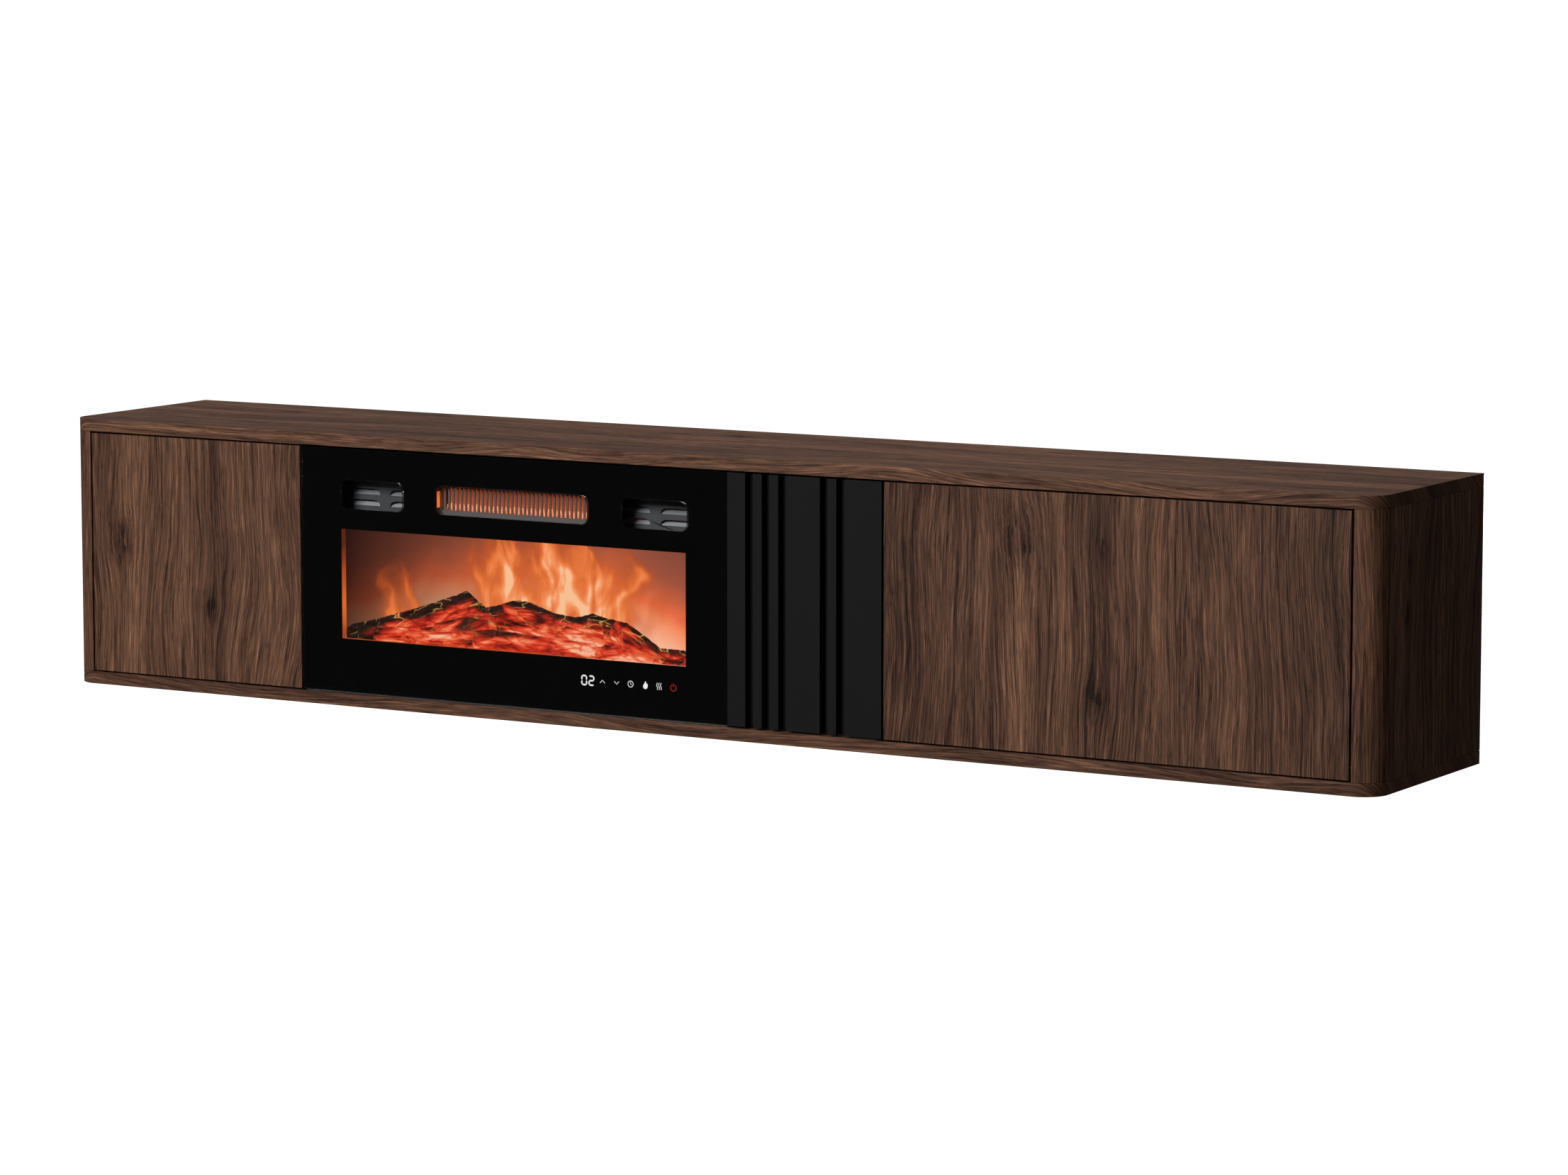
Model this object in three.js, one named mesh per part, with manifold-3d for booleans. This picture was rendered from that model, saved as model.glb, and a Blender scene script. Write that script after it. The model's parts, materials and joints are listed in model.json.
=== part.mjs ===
// A wall-hung television lowboard with an electric fireplace built into its front.
//
// Millimetres, +Z up, +X to the right seen from the front, the front faces -Y.
// The origin is the middle of the cabinet's footprint, on its underside. Everything is built in
// one group that starts at the front face, so inside it y is the depth behind the front.

import * as THREE from 'three';
import { mergeVertices } from 'three/addons/utils/BufferGeometryUtils.js';
import Module from 'manifold-3d';

const wasm = await Module();
wasm.setup();

// ---- Driving dimensions -----------------------------------------------------------------

const WIDTH = 2000;
const DEPTH = 319;
const HEIGHT = 373;
const BOARD = 17;            // thickness of every chipboard panel and door
const CORNER = 35;           // outside radius of the two rounded front corners
const POST_DEPTH = 139;      // how far the bent corner post runs back along the side
const DOOR_GAP = 3;          // gap beside a door
const REVEAL = 2.5;          // gap above and below what fills the front
const FIT = 0.3;             // gap between pieces that touch
const BACK_THICKNESS = 4;
const BACK_INSET = 10;       // the back panels stand in by this much, for the wall rail

const GLASS_LEFT = -605;
const GLASS_RIGHT = 71;
const GLASS_THICKNESS = 4;
const SLATS_LEFT = 72;
const SLATS_RIGHT = 303.4;
const SLATS_THICKNESS = 19;
const GROOVE_DEPTH = 12;

const WINDOW = { x0: -541.3, x1: 7.2, z0: 92.8, z1: 243.3 };   // clear part of the glass
const LEFT_VENT = { x0: -540.9, x1: -439.2, z0: 271.7, z1: 311 };
const OUTLET = { x0: -386.4, x1: -144.4, z0: 271.9, z1: 311 };
const RIGHT_VENT = { x0: -91.3, x1: 10.5, z0: 271.8, z1: 311 };
const CUTOUT_RADIUS = 11;

const PIVOT_INSET = 6;       // door pivot behind the front face
const PIVOT_EDGE = 15;       // door pivot from the door's edge
const PIN_RADIUS = 2;
const BUSH_RADIUS = 3.2;
const BUSH_BORE = 2.1;

const SHEET = 1.2;           // sheet steel of the fireplace housing
const HOUSING = { x0: -603, x1: 69, z0: BOARD + FIT, z1: 350.7, y0: 6.1, y1: 148.5 };
const DECK_Z = 256;          // shelf between the flame chamber and the heater chamber
const SCREEN_Y = 17;
const SCREEN_THICKNESS = 2;

const FRONT_LOW = BOARD + REVEAL;
const FRONT_HIGH = HEIGHT - FRONT_LOW;
const POST_EDGE = WIDTH / 2 - CORNER;
const INNER_SIDE = WIDTH / 2 - BOARD;
const DOOR_EDGE = POST_EDGE - DOOR_GAP;
const LEFT_DOOR_RIGHT = GLASS_LEFT - DOOR_GAP;
const RIGHT_DOOR_LEFT = SLATS_RIGHT + DOOR_GAP;
const BACK_Y = DEPTH - BACK_INSET - BACK_THICKNESS;
const CARCASS_LOW = BOARD + FIT;
const CARCASS_HIGH = HEIGHT - BOARD - FIT;
const PARTITION_Y = 19.5;    // the partitions start behind the doors, with room for a buffer
const LEFT_PIVOT_X = -DOOR_EDGE + PIVOT_EDGE;
const FLAP_PIVOT_Z = FRONT_LOW + PIVOT_EDGE;

// ---- Materials --------------------------------------------------------------------------

function finish(color, roughness, metalness) {
  return () => new THREE.MeshStandardMaterial({ color, roughness, metalness });
}

const walnut = finish(0x5b4136, 0.55, 0);
const blackMdf = finish(0x1b1b1c, 0.6, 0);
const blackHdf = finish(0x242322, 0.7, 0);
const glass = finish(0x050505, 0.05, 0);
const blackSteel = finish(0x141414, 0.45, 0.4);
const zincSteel = finish(0xa8abae, 0.4, 0.9);
const greyPaint = finish(0x6d6a68, 0.5, 0.2);
const louvreGrey = finish(0x3d3f42, 0.5, 0.2);
const screenPlastic = finish(0xc8643c, 0.4, 0);
const logResin = finish(0x3a1a12, 0.7, 0);
const circuitBoard = finish(0x1f4a2c, 0.5, 0);
const darkPlastic = finish(0x1c1c1e, 0.5, 0);
const whitePlastic = finish(0xd8d8d4, 0.5, 0);
const brass = finish(0xb08d4a, 0.35, 0.9);
const aluminium = finish(0xb9bcbf, 0.35, 0.9);

// ---- Shapes -----------------------------------------------------------------------------

function solid(geometry) {
  const bare = geometry.clone();
  bare.deleteAttribute('normal');
  bare.deleteAttribute('uv');
  const merged = mergeVertices(bare);
  const triVerts = Uint32Array.from(merged.index.array);
  const vertProperties = Float32Array.from(merged.attributes.position.array);
  return new wasm.Manifold(new wasm.Mesh({ numProp: 3, vertProperties, triVerts }));
}

function geometryOf(manifold) {
  const mesh = manifold.getMesh();
  const geometry = new THREE.BufferGeometry();
  geometry.setAttribute('position', new THREE.BufferAttribute(mesh.vertProperties, 3));
  geometry.setIndex(new THREE.BufferAttribute(mesh.triVerts, 1));
  geometry.computeVertexNormals();
  return geometry;
}

function cut(geometry, ...tools) {
  return geometryOf(tools.reduce((rest, tool) => rest.subtract(solid(tool)), solid(geometry)));
}

function join(geometry, ...others) {
  return geometryOf(others.reduce((sum, other) => sum.add(solid(other)), solid(geometry)));
}

function block([x0, x1], [y0, y1], [z0, z1]) {
  const geometry = new THREE.BoxGeometry(x1 - x0, y1 - y0, z1 - z0);
  return geometry.translate((x0 + x1) / 2, (y0 + y1) / 2, (z0 + z1) / 2);
}

// A cylinder about the line through centre, from one place to another along axis 0, 1 or 2.
function rod(axis, centre, radius, from, to, sides = 24) {
  const geometry = new THREE.CylinderGeometry(radius, radius, to - from, sides);
  if (axis === 0) geometry.rotateZ(-Math.PI / 2);
  if (axis === 2) geometry.rotateX(Math.PI / 2);
  const place = [...centre];
  place[axis] = (from + to) / 2;
  return geometry.translate(...place);
}

// An outline in x and z, given thickness from its front face backwards.
function upright(shape, y, thickness, curveSegments = 3) {
  const geometry = new THREE.ExtrudeGeometry(shape, { depth: thickness, bevelEnabled: false, curveSegments });
  return geometry.rotateX(Math.PI / 2).translate(0, y + thickness, 0);
}

// An outline in x and y, raised from one height to another.
function standing(shape, z0, z1, curveSegments = 10) {
  const geometry = new THREE.ExtrudeGeometry(shape, { depth: z1 - z0, bevelEnabled: false, curveSegments });
  return geometry.translate(0, 0, z0);
}

// An outline in y and z, drawn out from one x to another.
function lengthwise(shape, x0, x1, curveSegments = 6) {
  const geometry = new THREE.ExtrudeGeometry(shape, { depth: x1 - x0, bevelEnabled: false, curveSegments });
  const turn = new THREE.Matrix4().makeBasis(
    new THREE.Vector3(0, 1, 0), new THREE.Vector3(0, 0, 1), new THREE.Vector3(1, 0, 0));
  return geometry.applyMatrix4(turn).translate(x0, 0, 0);
}

function polygon(points) {
  return new THREE.Shape(points.map(([u, v]) => new THREE.Vector2(u, v)));
}

function rectangle({ x0, x1, z0, z1 }, radius = 0, grow = 0) {
  const [a, b, c, d] = [x0 - grow, x1 + grow, z0 - grow, z1 + grow];
  if (radius === 0) return polygon([[a, c], [b, c], [b, d], [a, d]]);
  const shape = new THREE.Shape();
  shape.moveTo(a + radius, c);
  shape.absarc(b - radius, c + radius, radius, -Math.PI / 2, 0);
  shape.absarc(b - radius, d - radius, radius, 0, Math.PI / 2);
  shape.absarc(a + radius, d - radius, radius, Math.PI / 2, Math.PI);
  shape.absarc(a + radius, c + radius, radius, Math.PI, Math.PI * 1.5);
  return shape;
}

// ---- The assembly -----------------------------------------------------------------------

const lowboard = new THREE.Group();
lowboard.position.y = -DEPTH / 2;

function piece(name, geometry, material) {
  const mesh = new THREE.Mesh(geometry, material());
  mesh.name = name;
  lowboard.add(mesh);
}

// ---- Carcass ----------------------------------------------------------------------------

function roundedBoard() {
  const shape = new THREE.Shape();
  shape.moveTo(-POST_EDGE, 0);
  shape.absarc(POST_EDGE, CORNER, CORNER, -Math.PI / 2, 0);
  shape.lineTo(WIDTH / 2, DEPTH);
  shape.lineTo(-WIDTH / 2, DEPTH);
  shape.absarc(-POST_EDGE, CORNER, CORNER, Math.PI, Math.PI * 1.5);
  return shape;
}

const BUSH_DEPTH = 9;
const BUSH_HOLE = BUSH_RADIUS + FIT;
const leftPivot = [LEFT_PIVOT_X, PIVOT_INSET, 0];
const topUnderside = HEIGHT - BOARD;

piece('top_panel', cut(
  standing(roundedBoard(), topUnderside, HEIGHT),
  rod(2, leftPivot, BUSH_HOLE, topUnderside - 1, topUnderside + BUSH_DEPTH + FIT),
), walnut);
piece('bottom_panel', cut(
  standing(roundedBoard(), 0, BOARD),
  rod(2, leftPivot, BUSH_HOLE, BOARD - BUSH_DEPTH - FIT, BOARD + 1),
), walnut);

// The post is one bent board: a short face beside the door, the round corner and part of the side.
function postOutline(side) {
  const shape = new THREE.Shape();
  shape.moveTo(POST_EDGE, 0);
  shape.absarc(POST_EDGE, CORNER, CORNER, -Math.PI / 2, 0);
  shape.lineTo(WIDTH / 2, POST_DEPTH);
  shape.lineTo(INNER_SIDE, POST_DEPTH);
  shape.absarc(POST_EDGE, CORNER, CORNER - BOARD, 0, -Math.PI / 2, true);
  const points = shape.getPoints(10).map((p) => new THREE.Vector2(side * p.x, p.y));
  return new THREE.Shape(points);
}

const flapPivot = [0, PIVOT_INSET, FLAP_PIVOT_Z];

piece('left_corner_post', standing(postOutline(-1), CARCASS_LOW, CARCASS_HIGH), walnut);
piece('right_corner_post', cut(
  standing(postOutline(1), CARCASS_LOW, CARCASS_HIGH),
  rod(0, flapPivot, BUSH_HOLE, POST_EDGE - 1, POST_EDGE + BUSH_DEPTH + FIT),
), walnut);

for (const [name, inner, outer] of [
  ['left_side_panel', -WIDTH / 2, -INNER_SIDE],
  ['right_side_panel', INNER_SIDE, WIDTH / 2],
]) {
  piece(name, block([inner, outer], [POST_DEPTH + FIT, DEPTH], [CARCASS_LOW, CARCASS_HIGH]), walnut);
}

const LEFT_PARTITION = [GLASS_LEFT - BOARD, GLASS_LEFT];
const CENTRE_PARTITION = [SLATS_LEFT, SLATS_LEFT + BOARD];
const RIGHT_PARTITION = [SLATS_RIGHT - FIT - BOARD, SLATS_RIGHT - FIT];

for (const [name, span] of [
  ['left_partition', LEFT_PARTITION],
  ['centre_partition', CENTRE_PARTITION],
  ['right_partition', RIGHT_PARTITION],
]) {
  piece(name, block(span, [PARTITION_Y, DEPTH - BACK_INSET], [CARCASS_LOW, CARCASS_HIGH]), walnut);
}

// Each back panel has a notch low down for cables, and one high up for the wall hanger's hook.
const CABLE_NOTCH = { width: 120, height: 40 };
const HANGER = { width: 40, height: 60, depth: 34, fromSide: 5, rim: 6 };
const HOOK = { low: 26, halfWidth: 10, rise: 16, thickness: 4, lip: 3, wallGap: 3, clear: 4 };

function backOutline(x0, x1, hookCentre) {
  const middle = (x0 + x1) / 2;
  const notch = CABLE_NOTCH.width / 2;
  const hook = HANGER.width / 2 - HANGER.rim;
  const hookLow = CARCASS_HIGH - HANGER.height + HOOK.low - HOOK.clear;
  return polygon([
    [x0, CARCASS_LOW],
    [middle - notch, CARCASS_LOW],
    [middle - notch, CARCASS_LOW + CABLE_NOTCH.height],
    [middle + notch, CARCASS_LOW + CABLE_NOTCH.height],
    [middle + notch, CARCASS_LOW],
    [x1, CARCASS_LOW],
    [x1, CARCASS_HIGH],
    [hookCentre + hook, CARCASS_HIGH],
    [hookCentre + hook, hookLow],
    [hookCentre - hook, hookLow],
    [hookCentre - hook, CARCASS_HIGH],
    [x0, CARCASS_HIGH],
  ]);
}

const LEFT_HANGER_X = -INNER_SIDE + HANGER.fromSide + HANGER.width / 2;
const RIGHT_HANGER_X = -LEFT_HANGER_X;

piece('left_back_panel', upright(
  backOutline(-INNER_SIDE + FIT, LEFT_PARTITION[0] - FIT, LEFT_HANGER_X), BACK_Y, BACK_THICKNESS), blackHdf);
piece('right_back_panel', upright(
  backOutline(RIGHT_PARTITION[1] + FIT, INNER_SIDE - FIT, RIGHT_HANGER_X), BACK_Y, BACK_THICKNESS), blackHdf);

// A steel hanger stands in each top rear corner; its hook reaches through the notch to a wall rail.
function hanger(centre) {
  const body = block(
    [centre - HANGER.width / 2, centre + HANGER.width / 2],
    [BACK_Y - FIT - HANGER.depth, BACK_Y - FIT],
    [CARCASS_HIGH - HANGER.height, CARCASS_HIGH - FIT]);
  const low = CARCASS_HIGH - HANGER.height + HOOK.low;
  const high = low + HOOK.rise;
  const span = [centre - HOOK.halfWidth, centre + HOOK.halfWidth];
  const end = DEPTH - HOOK.wallGap;
  const arm = block(span, [BACK_Y - BACK_THICKNESS, end], [high - HOOK.thickness, high]);
  const lip = block(span, [end - HOOK.lip, end], [low, high]);
  return join(body, arm, lip);
}

piece('left_wall_hanger', hanger(LEFT_HANGER_X), zincSteel);
piece('right_wall_hanger', hanger(RIGHT_HANGER_X), zincSteel);

// ---- Doors on pivot pins ----------------------------------------------------------------

const PIN_IN_DOOR = 12;
const PIN_IN_BUSH = 8;
const PIN_HOLE = PIN_RADIUS + FIT;
const COLLAR = { radius: 3.8, thickness: 1.2 };

piece('left_door', cut(
  block([-DOOR_EDGE, LEFT_DOOR_RIGHT], [0, BOARD], [FRONT_LOW, FRONT_HIGH]),
  rod(2, leftPivot, PIN_HOLE, FRONT_LOW - 1, FRONT_LOW + PIN_IN_DOOR + FIT),
  rod(2, leftPivot, PIN_HOLE, FRONT_HIGH - PIN_IN_DOOR - FIT, FRONT_HIGH + 1),
), walnut);
piece('right_door', cut(
  block([RIGHT_DOOR_LEFT, DOOR_EDGE], [0, BOARD], [FRONT_LOW, FRONT_HIGH]),
  rod(0, flapPivot, PIN_HOLE, RIGHT_DOOR_LEFT - 1, RIGHT_DOOR_LEFT + PIN_IN_DOOR + FIT),
  rod(0, flapPivot, PIN_HOLE, DOOR_EDGE - PIN_IN_DOOR - FIT, DOOR_EDGE + 1),
), walnut);

// The pin stands in the door, its collar spaces the door from the carcass, its tip turns in the bush.
function pivotPin(axis, centre, doorFace, towards, gap) {
  const along = (a, b) => [Math.min(a, b), Math.max(a, b)];
  const tip = doorFace + towards * (gap + PIN_IN_BUSH);
  const root = doorFace - towards * PIN_IN_DOOR;
  const shank = rod(axis, centre, PIN_RADIUS, ...along(root, tip));
  const near = doorFace + towards * FIT;
  const collar = rod(axis, centre, COLLAR.radius, ...along(near, near + towards * COLLAR.thickness));
  return join(shank, collar);
}

function bush(axis, centre, mouth, towards) {
  const ends = [mouth + towards * 0.1, mouth + towards * BUSH_DEPTH];
  const [low, high] = [Math.min(...ends), Math.max(...ends)];
  return cut(rod(axis, centre, BUSH_RADIUS, low, high), rod(axis, centre, BUSH_BORE, low - 1, high + 1));
}

piece('left_door_upper_pin', pivotPin(2, leftPivot, FRONT_HIGH, 1, REVEAL), zincSteel);
piece('left_door_lower_pin', pivotPin(2, leftPivot, FRONT_LOW, -1, REVEAL), zincSteel);
piece('right_door_left_pin', pivotPin(0, flapPivot, RIGHT_DOOR_LEFT, -1, DOOR_GAP), zincSteel);
piece('right_door_right_pin', pivotPin(0, flapPivot, DOOR_EDGE, 1, DOOR_GAP), zincSteel);
piece('left_door_upper_bush', bush(2, leftPivot, topUnderside, 1), brass);
piece('left_door_lower_bush', bush(2, leftPivot, BOARD, -1), brass);
piece('right_door_left_bush', bush(0, flapPivot, SLATS_RIGHT, -1), brass);
piece('right_door_right_bush', bush(0, flapPivot, POST_EDGE, 1), brass);

// Push latches hang under the top panel; pressing the door pushes the plunger in.
const LATCH = { width: 20, height: 17, y0: 25, y1: 80, plunger: 4, bore: 4.4, boreEnd: 58, tail: 52 };

function latch(prefix, centre) {
  const z = CARCASS_HIGH - LATCH.height / 2;
  const axis = [centre, 0, z];
  const span = [centre - LATCH.width / 2, centre + LATCH.width / 2];
  piece(`${prefix}_latch_body`, cut(
    block(span, [LATCH.y0, LATCH.y1], [CARCASS_HIGH - LATCH.height, CARCASS_HIGH]),
    rod(1, axis, LATCH.bore, LATCH.y0 - 1, LATCH.boreEnd),
  ), whitePlastic);
  piece(`${prefix}_latch_plunger`, rod(1, axis, LATCH.plunger, BOARD + FIT, LATCH.tail), darkPlastic);
}

latch('left', LEFT_DOOR_RIGHT - 32);
latch('right', (RIGHT_DOOR_LEFT + DOOR_EDGE) / 2);

// ---- Slatted panel ----------------------------------------------------------------------

// Each pair is where one slat starts and ends; the grooves lie between them.
const SLATS = [
  [SLATS_LEFT, 99.7], [111.4, 124.7], [135.6, 149.5],
  [160.7, 211.9], [223, 236.4], [248.3, SLATS_RIGHT],
];

function slatOutline() {
  const front = SLATS.flatMap(([x0, x1], i) => [
    [x0, i === 0 ? 0 : GROOVE_DEPTH], [x0, 0], [x1, 0], [x1, i === SLATS.length - 1 ? 0 : GROOVE_DEPTH],
  ]);
  const inner = front.slice(1, -1);
  return polygon([...inner, [SLATS_RIGHT, SLATS_THICKNESS], [SLATS_LEFT, SLATS_THICKNESS]]);
}

piece('slat_panel', cut(
  standing(slatOutline(), FRONT_LOW, FRONT_HIGH),
  rod(0, flapPivot, BUSH_HOLE, SLATS_RIGHT - BUSH_DEPTH - FIT, SLATS_RIGHT + 1),
), blackMdf);

// ---- Fireplace front --------------------------------------------------------------------

// An upright sheet with rectangular holes, each with its corners rounded and its edges grown.
function pierced(sheet, holes, radius, grow, y, thickness) {
  const tools = holes.map((hole) => upright(rectangle(hole, radius, grow), y - 1, thickness + 2));
  return cut(upright(rectangle(sheet), y, thickness), ...tools);
}

const glassEdge = { x0: GLASS_LEFT, x1: GLASS_RIGHT, z0: FRONT_LOW, z1: FRONT_HIGH };
const CUTOUTS = [LEFT_VENT, OUTLET, RIGHT_VENT];
piece('front_glass', pierced(glassEdge, CUTOUTS, CUTOUT_RADIUS, 0, 0, GLASS_THICKNESS), glass);

// Four sheet-steel strips carry the glass. The lower three have returns that line the window.
const FRAME_Y = GLASS_THICKNESS + FIT;
const FRAME_SHEET = 1.5;
const MARGIN = 2;            // the strips stop this far outside the clear part of the glass
const frameBack = FRAME_Y + FRAME_SHEET;
const RETURN_END = SCREEN_Y - FIT;
const inner = {
  x0: WINDOW.x0 - MARGIN, x1: WINDOW.x1 + MARGIN, z0: WINDOW.z0 - MARGIN, z1: WINDOW.z1 + MARGIN,
};
const outer = { x0: HOUSING.x0, x1: HOUSING.x1, z0: FRONT_LOW, z1: HOUSING.z1 };
const CONTROLS = { x0: -165, x1: 5, z0: 46, z1: 80 };

const topStrip = { x0: outer.x0, x1: outer.x1, z0: inner.z1, z1: outer.z1 };
piece('frame_top', pierced(topStrip, CUTOUTS, CUTOUT_RADIUS, 1, FRAME_Y, FRAME_SHEET), blackSteel);
piece('frame_bottom', cut(
  join(
    block([outer.x0, outer.x1], [FRAME_Y, frameBack], [outer.z0, inner.z0]),
    block([inner.x0, inner.x1], [FRAME_Y, RETURN_END], [inner.z0 - FRAME_SHEET, inner.z0]),
  ),
  block([CONTROLS.x0, CONTROLS.x1], [0, 12], [CONTROLS.z0, CONTROLS.z1]),
), blackSteel);

function sideStrip(x0, x1, returnAt) {
  return join(
    block([x0, x1], [FRAME_Y, frameBack], [inner.z0 + FIT, inner.z1 - FIT]),
    block([returnAt, returnAt + FRAME_SHEET], [FRAME_Y, RETURN_END], [inner.z0 + FIT, inner.z1 - FIT]),
  );
}

piece('frame_left', sideStrip(outer.x0, inner.x0, inner.x0 - FRAME_SHEET), blackSteel);
piece('frame_right', sideStrip(inner.x1, outer.x1, inner.x1), blackSteel);

// ---- Housing of sheet steel -------------------------------------------------------------

const inside = {
  x0: HOUSING.x0 + SHEET + FIT, x1: HOUSING.x1 - SHEET - FIT,
  z0: HOUSING.z0 + SHEET + FIT, z1: HOUSING.z1 - SHEET - FIT,
};
const housingDepth = [HOUSING.y0, HOUSING.y1];
piece('housing_top', block(
  [HOUSING.x0, HOUSING.x1], housingDepth, [HOUSING.z1 - SHEET, HOUSING.z1]), zincSteel);
piece('housing_bottom', block(
  [HOUSING.x0, HOUSING.x1], housingDepth, [HOUSING.z0, HOUSING.z0 + SHEET]), zincSteel);
piece('housing_left', block(
  [HOUSING.x0, HOUSING.x0 + SHEET], housingDepth, [inside.z0, inside.z1]), zincSteel);
piece('housing_right', block(
  [HOUSING.x1 - SHEET, HOUSING.x1], housingDepth, [inside.z0, inside.z1]), zincSteel);
piece('deck_plate', block([inside.x0, inside.x1], housingDepth, [DECK_Z, DECK_Z + SHEET]), zincSteel);

const REAR_Y = HOUSING.y1 + FIT;
const INLET = { x: -560, z: 70, width: 28, height: 21, flange: 46, flangeHeight: 25, depth: 18 };
const REAR_SLOT = { length: 60, height: 5, columns: 6, rows: 3, pitchX: 90, pitchZ: 14, z: 285 };

function rearSlots() {
  const slots = [];
  const first = (HOUSING.x0 + HOUSING.x1 - (REAR_SLOT.columns - 1) * REAR_SLOT.pitchX) / 2;
  for (let column = 0; column < REAR_SLOT.columns; column += 1) {
    for (let row = 0; row < REAR_SLOT.rows; row += 1) {
      const x = first + column * REAR_SLOT.pitchX;
      const z = REAR_SLOT.z + row * REAR_SLOT.pitchZ;
      slots.push({
        x0: x - REAR_SLOT.length / 2, x1: x + REAR_SLOT.length / 2,
        z0: z - REAR_SLOT.height / 2, z1: z + REAR_SLOT.height / 2,
      });
    }
  }
  return slots;
}

function centred({ x, z }, width, height) {
  return { x0: x - width / 2, x1: x + width / 2, z0: z - height / 2, z1: z + height / 2 };
}

const rearHoles = [...rearSlots(), centred(INLET, INLET.width + 1, INLET.height + 1)];
piece('rear_cover', pierced(HOUSING, rearHoles, 0, 0, REAR_Y, SHEET), zincSteel);

// The mains inlet is a recessed socket whose flange lies on the rear cover.
const inletFace = REAR_Y + SHEET + FIT;
const INLET_WALL = 2;
piece('power_inlet', cut(
  join(
    upright(rectangle(centred(INLET, INLET.width, INLET.height)), inletFace - INLET.depth, INLET.depth + 1),
    upright(rectangle(centred(INLET, INLET.flange, INLET.flangeHeight)), inletFace, 2.5),
  ),
  upright(rectangle(centred(INLET, INLET.width - 2 * INLET_WALL, INLET.height - 2 * INLET_WALL)),
    inletFace - INLET.depth + INLET_WALL, INLET.depth + 5),
), darkPlastic);

// ---- Flame chamber ----------------------------------------------------------------------

const chamber = { x0: inner.x0 + FIT, x1: inner.x1 - FIT };

piece('flame_screen', block(
  [inner.x0 - 4, inner.x1 + 4], [SCREEN_Y, SCREEN_Y + SCREEN_THICKNESS], [inside.z0 + 60, DECK_Z - FIT],
), screenPlastic);

// The log relief is a moulded bar: three overlapping logs seen from the front.
const LOG_FRONT = 8.5;
const LOG_LOW = inner.z0 + FIT;
const LOG_TOP = [
  [chamber.x0, 106], [-533, 112], [-492, 122], [-440, 137], [-402, 149], [-362, 163],
  [-345, 170], [-329, 158], [-315, 149], [-300, 152], [-268, 162], [-246, 161], [-208, 149],
  [-172, 145], [-145, 152], [-128, 148], [-92, 143], [-66, 129], [-40, 113], [chamber.x1, 112],
];
piece('log_set', upright(
  polygon([[chamber.x0, LOG_LOW], [chamber.x1, LOG_LOW], ...[...LOG_TOP].reverse()]),
  LOG_FRONT, SCREEN_Y - FIT - LOG_FRONT), logResin);

const BOARD_THICKNESS = 1.6;
const SOLDER = 1;            // parts start this far up inside the board they stand on
const FLOOR = inside.z0;
const LAMPS = { count: 16, first: 24, pitch: 31, half: 2.5, high: 3.2, stripStart: 8, stripEnd: 30 };
function ledBoard(y0, y1) {
  const span = [chamber.x0 + LAMPS.stripStart, chamber.x1 - LAMPS.stripEnd];
  const strip = block(span, [y0, y1], [FLOOR, FLOOR + BOARD_THICKNESS]);
  const lamps = [];
  for (let i = 0; i < LAMPS.count; i += 1) {
    const x = chamber.x0 + LAMPS.first + i * LAMPS.pitch;
    const y = (y0 + y1) / 2;
    lamps.push(block(
      [x - LAMPS.half, x + LAMPS.half], [y - LAMPS.half, y + LAMPS.half],
      [FLOOR + SOLDER, FLOOR + LAMPS.high]));
  }
  return join(strip, ...lamps);
}

piece('ember_led_board', ledBoard(24, 36), circuitBoard);
piece('flame_led_board', ledBoard(60, 80), circuitBoard);

// The stencil has flame-shaped slots that break up the light thrown forward by the turning spindle.
const STENCIL = { y: 42, thickness: 1, overlap: 4 };
const FLAMES = {
  count: 9, first: -500, pitch: 58, low: 110, step: 6, high: 215, swing: 22, halfWidth: 11, lean: 9,
};
function flameSlot(x, low, high, halfWidth, lean) {
  const shape = new THREE.Shape();
  shape.moveTo(x, low);
  shape.quadraticCurveTo(x + halfWidth * 2, (low * 2 + high) / 3, x + lean, high);
  shape.quadraticCurveTo(x - halfWidth * 2, (low * 2 + high) / 3, x, low);
  return shape;
}

const flameSlots = [];
for (let i = 0; i < FLAMES.count; i += 1) {
  const odd = i % 2;
  const high = FLAMES.high + FLAMES.swing * Math.sin(i * 1.9);
  const lean = odd ? -FLAMES.lean : FLAMES.lean;
  const low = FLAMES.low + FLAMES.step * odd;
  const slot = flameSlot(FLAMES.first + i * FLAMES.pitch, low, high, FLAMES.halfWidth, lean);
  flameSlots.push(upright(slot, STENCIL.y - 1, STENCIL.thickness + 2, 5));
}
piece('flame_stencil', cut(
  block([inner.x0 - STENCIL.overlap, inner.x1 + STENCIL.overlap],
    [STENCIL.y, STENCIL.y + STENCIL.thickness], [FLOOR, DECK_Z - FIT]),
  ...flameSlots,
), aluminium);

// The spindle turns slowly behind the stencil; its mirror strips make the light flicker.
const SPINDLE = { y: 70, z: 110, radius: 14, shaft: 2.5, x0: -546, x1: -2 };
const STRIPS = { count: 24, first: -528, pitch: 21, width: 13, thickness: 1, turn: 50 };
const spindleAxis = [0, SPINDLE.y, SPINDLE.z];

function flameSpindle() {
  const shaft = rod(0, spindleAxis, SPINDLE.shaft, SPINDLE.x0, SPINDLE.x1, 12);
  const strips = [];
  for (let i = 0; i < STRIPS.count; i += 1) {
    const strip = new THREE.BoxGeometry(STRIPS.width, STRIPS.thickness, SPINDLE.radius * 2);
    strip.rotateX(i * THREE.MathUtils.degToRad(STRIPS.turn));
    strips.push(strip.translate(STRIPS.first + i * STRIPS.pitch, SPINDLE.y, SPINDLE.z));
  }
  return join(shaft, ...strips);
}

piece('flame_spindle', flameSpindle(), aluminium);

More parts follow.
